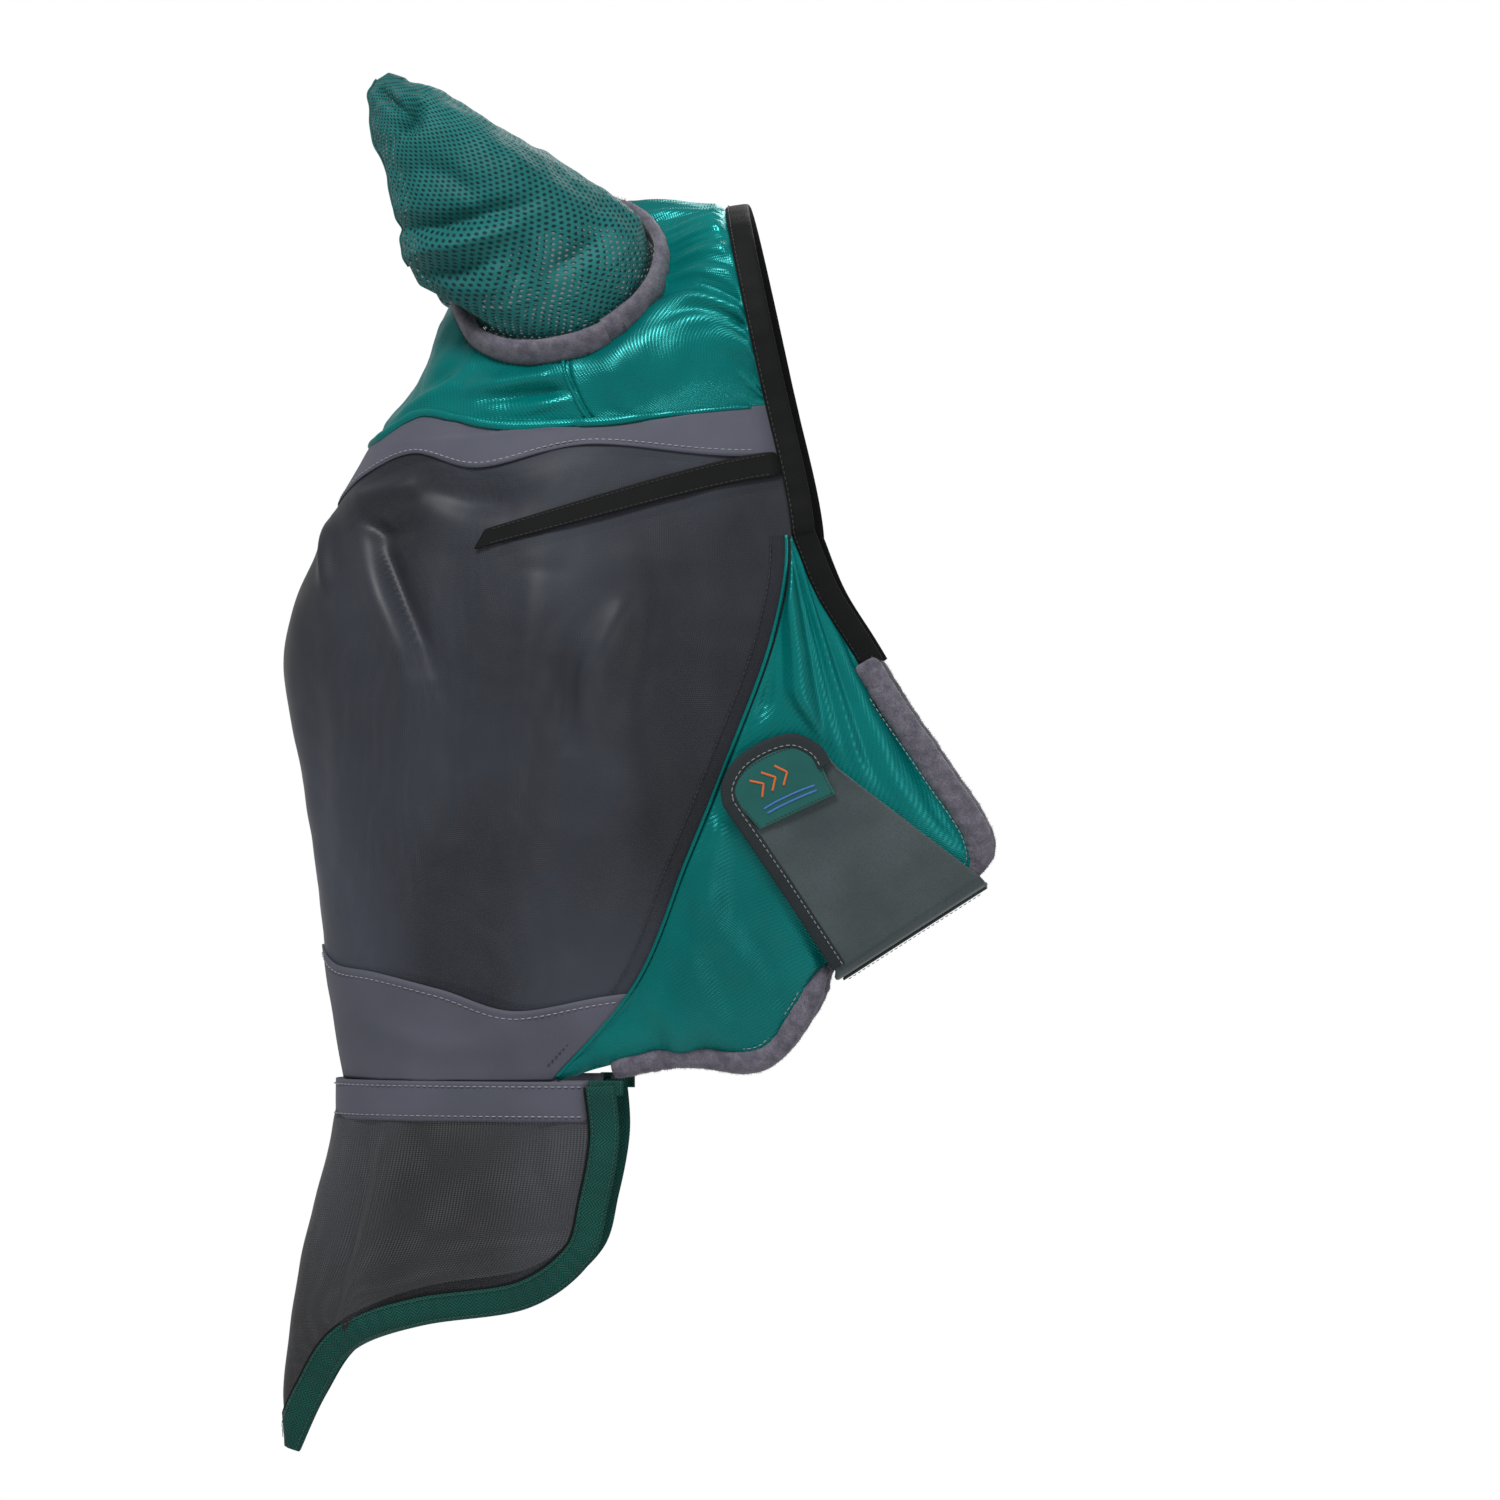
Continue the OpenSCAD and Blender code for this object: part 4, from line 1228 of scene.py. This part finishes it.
EAR_FOLDS = add_all(
    crease([[-165, -3], [-140, -5], [-112, 2], [-88, 8]], 5.0, -5.0, 0.3),
    crease([[-160, -18], [-132, -14], [-105, -8], [-92, -2]], 4.5, 3.0),
    crease([[-156, -28], [-130, -28], [-100, -20]], 5.0, -3.2),
    crease([[-142, -34], [-116, -40], [-92, -36]], 4.0, 2.2),
    crease([[-158, 44], [-150, 52], [-146, 66]], 4.5, -5.5, 0.3),
    crease([[-172, 72], [-162, 64], [-152, 56]], 3.0, -3.0),
    crease([[-150, 30], [-130, 22], [-116, 10]], 7.0, -2.6),
    crease([[-118, 46], [-96, 30], [-76, 12]], 8.0, 2.0),
    crease([[-80, -36], [-66, -22], [-48, -8]], 5.0, -2.5),
    crease([[-104, -44], [-92, -26], [-88, -10]], 4.5, -2.2),
)


def ear_parts(side):
    tag = "l" if side < 0 else "r"
    sides = 132
    rows = [ear_ring(u, sides) for u in (-0.999, -0.7, -0.4, -0.12)]
    rows += [ear_ring(u, sides) for u in steps(0.05, 1, 86)]
    rim = rows[-1]
    tip = np.mean(rim[:-1], axis=0) + np.array([-1.8, 0, 3.3])
    for k in (0.66, 0.33, 0.06):
        rows.append([mix(tip, p, k) for p in rim])
    cloth = Cloth(rows, closed=True)
    cloth.facing_out((-100, EAR_AT[1] - 20, 0))
    seed = 70 if side < 0 else 78

    def shape(p, i, j):
        hold = smooth((i - 3) / 10) * smooth((92 - i) / 8)
        pleat = hills(j / 5.5, seed) * 3.0 * math.exp(-max(0, i - 4) / 12) * smooth((i - 1) / 3)
        outer = 1.0 if p[1] < EAR_AT[1] - 12 else 0.6
        soft = 2.6 * rough_at(p, 22, seed) + 1.1 * rough_at(p, 9, seed + 3)
        return (EAR_FOLDS(p) * 1.9 * outer + soft) * hold + pleat

    cloth.push(shape)
    if side > 0:
        cloth.p = cloth.p * [1, -1, 1]
    cover = cloth.piece(f"ear_cover_cloth_{tag}", EAR_MESH)
    name = "left" if side < 0 else "right"
    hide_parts(f"ear_cover_{name}")
    flip = np.array([1, 1 if side < 0 else -1, 1])
    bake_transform(cover)
    seam = [cloth.p[i, 66] + cloth.normal[i, 66] * flip * 0.5 for i in range(8, 90)]
    rides(tube_mesh(f"ear_seam_{tag}", seam, 0.6, EAR_MESH_SEAM, 8), f"ear_{name}", "ear_mesh")


# ---------- strap ----------


def fold_frame():
    along = unit(FOLD_B - FOLD_A)
    return np.array([along[0], 0, along[1]]), np.array([-along[1], 0, along[0]])


def strap_point(d, q, out=0.0):
    """The closed strap as one band: d is millimetres from the left fold, over the tab if above 0
    and under the jaw if below, q runs across it."""
    along, up = fold_frame()
    length = np.linalg.norm(FOLD_B - FOLD_A)
    foot = np.array([FOLD_A[0], 0, FOLD_A[1]]) + along * length * q
    if d < 0:
        sag = 1.4 * math.sin(math.pi * min(1.0, -d / (2 * STRAP_HALF)))
        return foot + np.array([0, -STRAP_HALF - d, 0]) - up * (out + sag)
    return tab(min(1.0, d / 118), q, out)


def strap_grid(d0, d1, n, out):
    rows = []
    turn_r = 1.9
    for d in steps(d0, d1, n):
        row = []
        for q in steps(0, 1, 40):
            under = strap_point(min(d, -turn_r - 0.5), q, out)
            over = strap_point(max(d, turn_r + 1.0), q, out + STRAP_T / 2)
            f = smooth((d + 3.5) / 7.5)
            row.append(mix(under, over, f))
        rows.append(row)
    return rows


def strap_parts():
    span = 2 * STRAP_HALF
    grid = strap_grid(-span / 2 - 6, 118, 130, 0.0)
    cloth = Cloth(grid)
    cloth.facing_out((60, 0, -330))
    folds = add_all(
        crease([[100, -325], [112, -345], [122, -368]], 7, 0.9),
        crease([[70, -345], [90, -372], [98, -392]], 8, -0.8),
        crease([[46, -330], [64, -352]], 7, 0.7),
    )
    cloth.push(lambda p, i, j: (folds(p) + 0.5 * rough_at(p, 24, 90)) * smooth((i - 66) / 8))
    near = cloth.piece("strap_near", STRAP, 1.7)
    near.modifiers["thickness"].offset = 0
    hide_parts("strap_span", "strap_fold", "strap_tab")
    _, up = fold_frame()
    at = np.array([FOLD_A[0] + 40, -STRAP_HALF, FOLD_A[1] + 26])
    bend = unit(unit(up) + np.array([0, 1.0, 0]) * -1)
    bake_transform(near)

    rows = []
    for d in steps(-6, span / 2 + 8, 60):
        row = []
        for q in steps(0.015, 0.985, 34):
            inner = strap_point(-max(d, 2.4), q, 1.9) * [1, -1, 1]
            outer = tab(0.24 * max(0.0, (-d + 1.0)) / 7 + 0.012, q, STRAP_T / 2, 1)
            row.append(mix(outer, inner, smooth((d + 3) / 6)))
        rows.append(row)
    across = steps(0.015, 0.985, 34)
    rows = [[tab(0.25 * k, q, STRAP_T / 2, 1) for q in across] for k in steps(1.0, 0.3, 14)] + rows
    far = Cloth(rows).piece("strap_far", STRAP, 1.4)
    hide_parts("strap_root", "strap_root_fold")
    at = at * [1, -1, 1]
    bend = bend * [1, -1, 1]
    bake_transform(far)

    cross = [strap_point(-span / 2 + 3, q, 3.2) for q in steps(0.04, 0.96, 60)]
    sew("strap_join_stitches", cross, lambda p: -up,
        THREAD_STRAP, (3.0, 2.2, 0.3), "strap_span", "strap_cloth")
    for k, f in enumerate((0.08, 0.22)):
        line = [tab(f, q, STRAP_T / 2 + 1.0, 1) for q in steps(0.05, 0.95, 60)]
        sew(f"strap_root_stitches{k}", line, lambda p: [0, 1, 0],
            THREAD_STRAP, (3.0, 2.2, 0.3), "mask", "strap_cloth")


def edging_line(inset, out, f0=0.05):
    """Up the left side of the tab and round its tip, inset millimetres from the edge."""
    centre = tab(0.72, 0.5)
    line = [tab(f, 0.0, out) for f in steps(f0, 1, 70)] + [tab(1.0, q, out) for q in steps(0.02, 1, 60)]
    moved = []
    for i, p in enumerate(line):
        d = unit(line[min(len(line) - 1, i + 1)] - line[max(0, i - 1)])
        inward = unit(np.cross(d, [0, -1, 0]))
        if inward @ (centre - p) < 0:
            inward = -inward
        moved.append(p + inward * inset)
    return moved


def tab_parts():
    face = STRAP_T / 2 + 0.85
    section = ((-0.5, -0.8), (-0.7, 0.35), (1.0, 0.75), (4.5, 0.7), (6.6, 0.6), (6.9, 0.1))
    lines = [edging_line(a, face + b) for a, b in section]
    edge = strip("strap_edge_tape", lines, STRAP_EDGE, 0.4, 1)
    rides(edge, "strap_tab", "strap_edge", "strap_edging")
    sew("strap_edge_stitches", edging_line(5.4, face + 1.0), lambda p: [0, -1, 0],
        THREAD_STRAP, (3.4, 2.3, 0.3), "strap_tab", "strap_edge")

    def pad(name, f0, f1, q0, q1, out, material, slot, body, node, thick):
        grid = [[tab(f, q, out) for q in steps(q0, q1, 30)] for f in steps(f0, f1, 30)]
        piece = Cloth(grid).piece(name, material, thick)
        return rides(piece, body, slot, node)

    pad("hook_pad_rows", 0.45, 0.9, 0.12, 0.88, -0.7, HOOK, "touch_hook", "strap_tab", "hook_pad", 0.8)
    pad("loop_patch_pile", 0.04, 0.9, 0.04, 0.96, -2.1, LOOP, "touch_loop", "mask", "loop_patch", 0.9)

    def patch(f, q, out):
        f0, q0 = 0.77 + 0.18 * f, 0.13 + 0.68 * q
        bow = f0 ** 3 * (curve(TAB_TIP, q0) - mix(TAB_TIP[0], TAB_TIP[-1], q0)) * (1 - f)
        return tab(f0, q0, out) - np.array([bow[0], 0, bow[1]])

    rows = []
    for f in steps(0, 1, 26):
        reach = 1.0 if f < 0.55 else math.sqrt(max(0.02, 1 - ((f - 0.55) / 0.5) ** 2 * 0.55))
        rows.append([patch(f, 0.5 + (q - 0.5) * reach, face + 0.55) for q in steps(0, 1, 40)])
    cloth = Cloth(rows)
    label = cloth.piece("label_patch_cloth", LABEL, 0.7)
    rides(label, "strap_tab", "label", "label_patch")
    ring = [cloth.p[i, 1] for i in range(1, 26)] + [cloth.p[25, j] for j in range(2, 39)]
    ring += [cloth.p[i, 39] for i in range(25, 0, -1)] + [cloth.p[1, j] for j in range(38, 1, -1)]
    ring = [p + np.array([0, -0.45, 0]) for p in ring]
    sew("label_stitches", ring, lambda p: [0, -1, 0], THREAD_DARK, (2.2, 1.7, 0.24), "strap_tab", "label")
    marks = []
    for k, (f, q) in enumerate(((0.66, 0.30), (0.66, 0.42), (0.66, 0.54))):
        point = patch(f, q + 0.06, face + 1.05)
        line = [patch(f - 0.16, q - 0.03, face + 1.0), point, patch(f + 0.16, q - 0.03, face + 1.0)]
        marks.append(tube_mesh(f"label_chevron{k}", resample(line, 0.8), 0.62, ORANGE, 8))
    rides(joined("label_chevrons", marks), "strap_tab", "label")
    bars = []
    for k, f in enumerate((0.22, 0.32)):
        line = [patch(f, q, face + 1.0) for q in steps(0.2, 0.82, 30)]
        bars.append(tube_mesh(f"label_bar{k}", line, 0.5, BLUE, 8))
    rides(joined("label_bars", bars), "strap_tab", "label")


# ---------- nose piece ----------

NOSE_FOLDS = on_side(-1, add_all(
    crease([[-168, -484], [-172, -520], [-186, -566], [-200, -610]], 7, 4.5, 0.3),
    crease([[-180, -484], [-186, -530], [-200, -590], [-212, -630]], 6, -4.5),
    crease([[-150, -486], [-150, -520], [-160, -570]], 9, -2.2),
    crease([[-71, -480], [-89, -496], [-88, -512], [-78, -540]], 5, -3.5, 0.4),
    crease([[-60, -490], [-72, -520], [-66, -556]], 6, 2.2),
    crease([[-120, -486], [-116, -530], [-122, -580]], 12, 1.8),
), 0.8)


def nose_parts():
    columns = steps(-0.965, 0.965, 110)
    band = Cloth([[nose_wall(z, t, 4.3) for t in columns] for z in steps(BAND_TOP, BAND_LOW, 12)])
    band.facing_out((-110, 0, -475))
    band.push(lambda p, i, j: 0.45 * rough_at(p, 20, 95))
    cloth = band.piece("nose_piece_band_cloth", BAND, 1.0)
    rides(cloth, "nose_piece", "grey_band", "nose_piece_band")
    out = lambda p: p - np.array([-80, 0, p[2]])
    for k, z in enumerate((-469.2, -485.4)):
        line = [nose_wall(z, t, 5.2) for t in steps(-0.95, 0.95, 200)]
        rides(stitch_row(f"nose_band_stitches{k}", line, out, THREAD_GREY), "nose_piece", "grey_band")
    for name, reach, material, slot, body, node in (
        ("nose_loop_pile", 1.6, LOOP, "touch_loop", "mask", "nose_loop_tape"),
        ("nose_hook_rows", 3.1, HOOK, "touch_hook", "nose_piece", "nose_hook_tape"),
    ):
        grid = [[nose_wall(z, t, reach) for t in steps(-0.94, 0.94, 90)] for z in steps(-469, -483, 6)]
        rides(Cloth(grid).piece(name, material, 0.8), body, slot, node)

    rows, cols = 110, 150
    grid = [[nose_mesh_point(w, t) for t in steps(-0.985, 0.985, cols)] for w in steps(0.0, 0.972, rows)]
    mesh = Cloth(grid).facing_out((-120, 0, -540))
    mesh.push(lambda p, i, j: (NOSE_FOLDS(p) + 1.3 * rough_at(p, 30, 96)) * smooth(i / 12)
              * smooth(min(j, cols - j) / 12) * smooth((rows - i) / 20))
    cloth = mesh.piece("nose_mesh_cloth", NOSE_MESH)
    rides(cloth, "nose_piece", "fine_mesh", "nose_mesh")


def nose_mesh_point(w, t):
    """The curtain: it starts under the band and follows the nose piece down."""
    low = muzzle(0.05 + 0.95 * w, t, PANEL / 2)
    top = nose_wall(-480.0, max(-0.965, min(0.965, t)), 3.6)
    return mix(top, low, smooth(w / 0.06)) if w < 0.06 else low


def hem_frame(w):
    along = unit(curve(HEM_LINE, min(1, w + 0.01)) - curve(HEM_LINE, max(0, w - 0.01)))
    return np.array([along[1], -along[0]])


def hem_line(inset, out, w0=0.0, w1=0.999):
    """A line round the whole hem, left side down to the point and up the right side."""
    left = []
    for w in steps(w0, w1, 120):
        p = curve(HEM_LINE, w) + hem_frame(w) * inset
        lift = 5.0 * smooth((0.13 - w) / 0.12)
        left.append(muzzle_over(p, w, out + lift))
    return left + mirrored(left)[::-1]


def webbing_parts():
    insets = (0.0, 2.5, 5.0, 7.5, 10.0, 12.5, 15.0)
    outer = [hem_line(a, PANEL / 2 + 1.0) for a in insets[::-1]]
    inner = [hem_line(a, -1.0) for a in insets[:-1]]
    web = strip("hem_webbing_cloth", outer + [hem_line(-0.9, 0.5)] + inner, WEBBING, 0.9, 0)
    rides(web, "nose_piece", "green_webbing", "hem_webbing_left", "hem_webbing_right")
    piping = hem_line(15.6, PANEL / 2 + 0.5)
    rides(tube_mesh("hem_piping", piping, 0.9, TAPE, 8), "nose_piece", "black_tape")
    face = lambda p: [0, -1 if p[1] < 0 else 1, 0]
    rows = []
    for k, a in enumerate((1.4, 13.6)):
        rows.append(stitch_row(f"w{k}", hem_line(a, PANEL / 2 + 1.9), face, WEB_THREAD, 2.6, 1.9, 0.24))
    rides(joined("hem_stitches", rows), "nose_piece", "green_webbing")
    for side in (-1, 1):
        tag, name = ("l", "left") if side < 0 else ("r", "right")
        grid = []
        for z in steps(-465.6, -474, 8):
            grid.append([np.array([x, side * (65.4 + 0.35 * math.sin(x)), z]) for x in steps(-58, -39, 20)])
        tabby = Cloth(grid).piece(f"webbing_tab_{tag}_cloth", WEBBING, 1.4)
        rides(tabby, "nose_piece", "green_webbing", f"webbing_tab_{name}")
        bars = [[np.array([x, side * 66.4, z]) for z in steps(-466.4, -473.2, 12)] for x in (-56.6, -40.4)]
        rows = [stitch_row(f"t{k}", bar, face, WEB_THREAD, 1.0, 1.2, 0.3) for k, bar in enumerate(bars)]
        rides(joined(f"webbing_tacks_{tag}", rows), "nose_piece", "green_webbing")


# ---------- assembly ----------

EAR_MESH_SEAM = thread_look("ear_mesh_seam", (8, 84, 84), (24, 112, 110))
WEB_THREAD = thread_look("thread_green", (2, 60, 54), (10, 90, 78))

crown_parts()
face_parts()
binding_parts()
for hand in (-1, 1):
    dart_parts(hand)
    seam_parts(hand)
    cheek_parts(hand)
    cuff_parts(hand)
    roll_parts(hand, "throat", 0.176, 0.452, 6.5, 100, 65)
    roll_parts(hand, "jaw", 0.612, 0.94, 5.5, 100, 67)
    ear_parts(hand)
strap_parts()
tab_parts()
nose_parts()
webbing_parts()

# ---------- stage ----------


def add_stage():
    bpy.ops.mesh.primitive_plane_add(size=16, location=(0, 0, -1.6))
    floor = bpy.context.object
    floor.name = "floor"
    look = bpy.data.materials.new("floor")
    look.use_nodes = True
    look.node_tree.nodes["Principled BSDF"].inputs["Base Color"].default_value = (0.9, 0.9, 0.9, 1)
    look.node_tree.nodes["Principled BSDF"].inputs["Roughness"].default_value = 0.9
    floor.data.materials.append(look)
    world = bpy.data.worlds.new("studio")
    bpy.context.scene.world = world
    world.use_nodes = True
    tree = world.node_tree
    soft = tree.nodes["Background"]
    soft.inputs["Strength"].default_value = 0.38
    white = tree.nodes.new("ShaderNodeBackground")
    white.inputs["Strength"].default_value = 1.0
    for sky in (soft, white):
        sky.inputs["Color"].default_value = (1, 1, 1, 1)
    rays = tree.nodes.new("ShaderNodeLightPath")
    pair = tree.nodes.new("ShaderNodeMixShader")
    tree.links.new(rays.outputs["Is Camera Ray"], pair.inputs[0])
    tree.links.new(soft.outputs[0], pair.inputs[1])
    tree.links.new(white.outputs[0], pair.inputs[2])
    tree.links.new(pair.outputs[0], tree.nodes["World Output"].inputs["Surface"])
    for name, spot, size, power in (
        ("key", (-0.5, -1.5, 1.5), 0.55, 39),
        ("fill", (1.7, -1.5, -0.2), 1.2, 7),
        ("rim", (0.6, 1.8, 1.2), 1.2, 22),
    ):
        data = bpy.data.lights.new(name, "AREA")
        data.size = size
        data.energy = power
        light = bpy.data.objects.new(name, data)
        light.location = spot
        light.rotation_euler = (Vector(VIEW_CENTRE) - Vector(spot)).to_track_quat("-Z", "Y").to_euler()
        bpy.context.collection.objects.link(light)
    bpy.context.scene.view_settings.view_transform = "Standard"


add_stage()
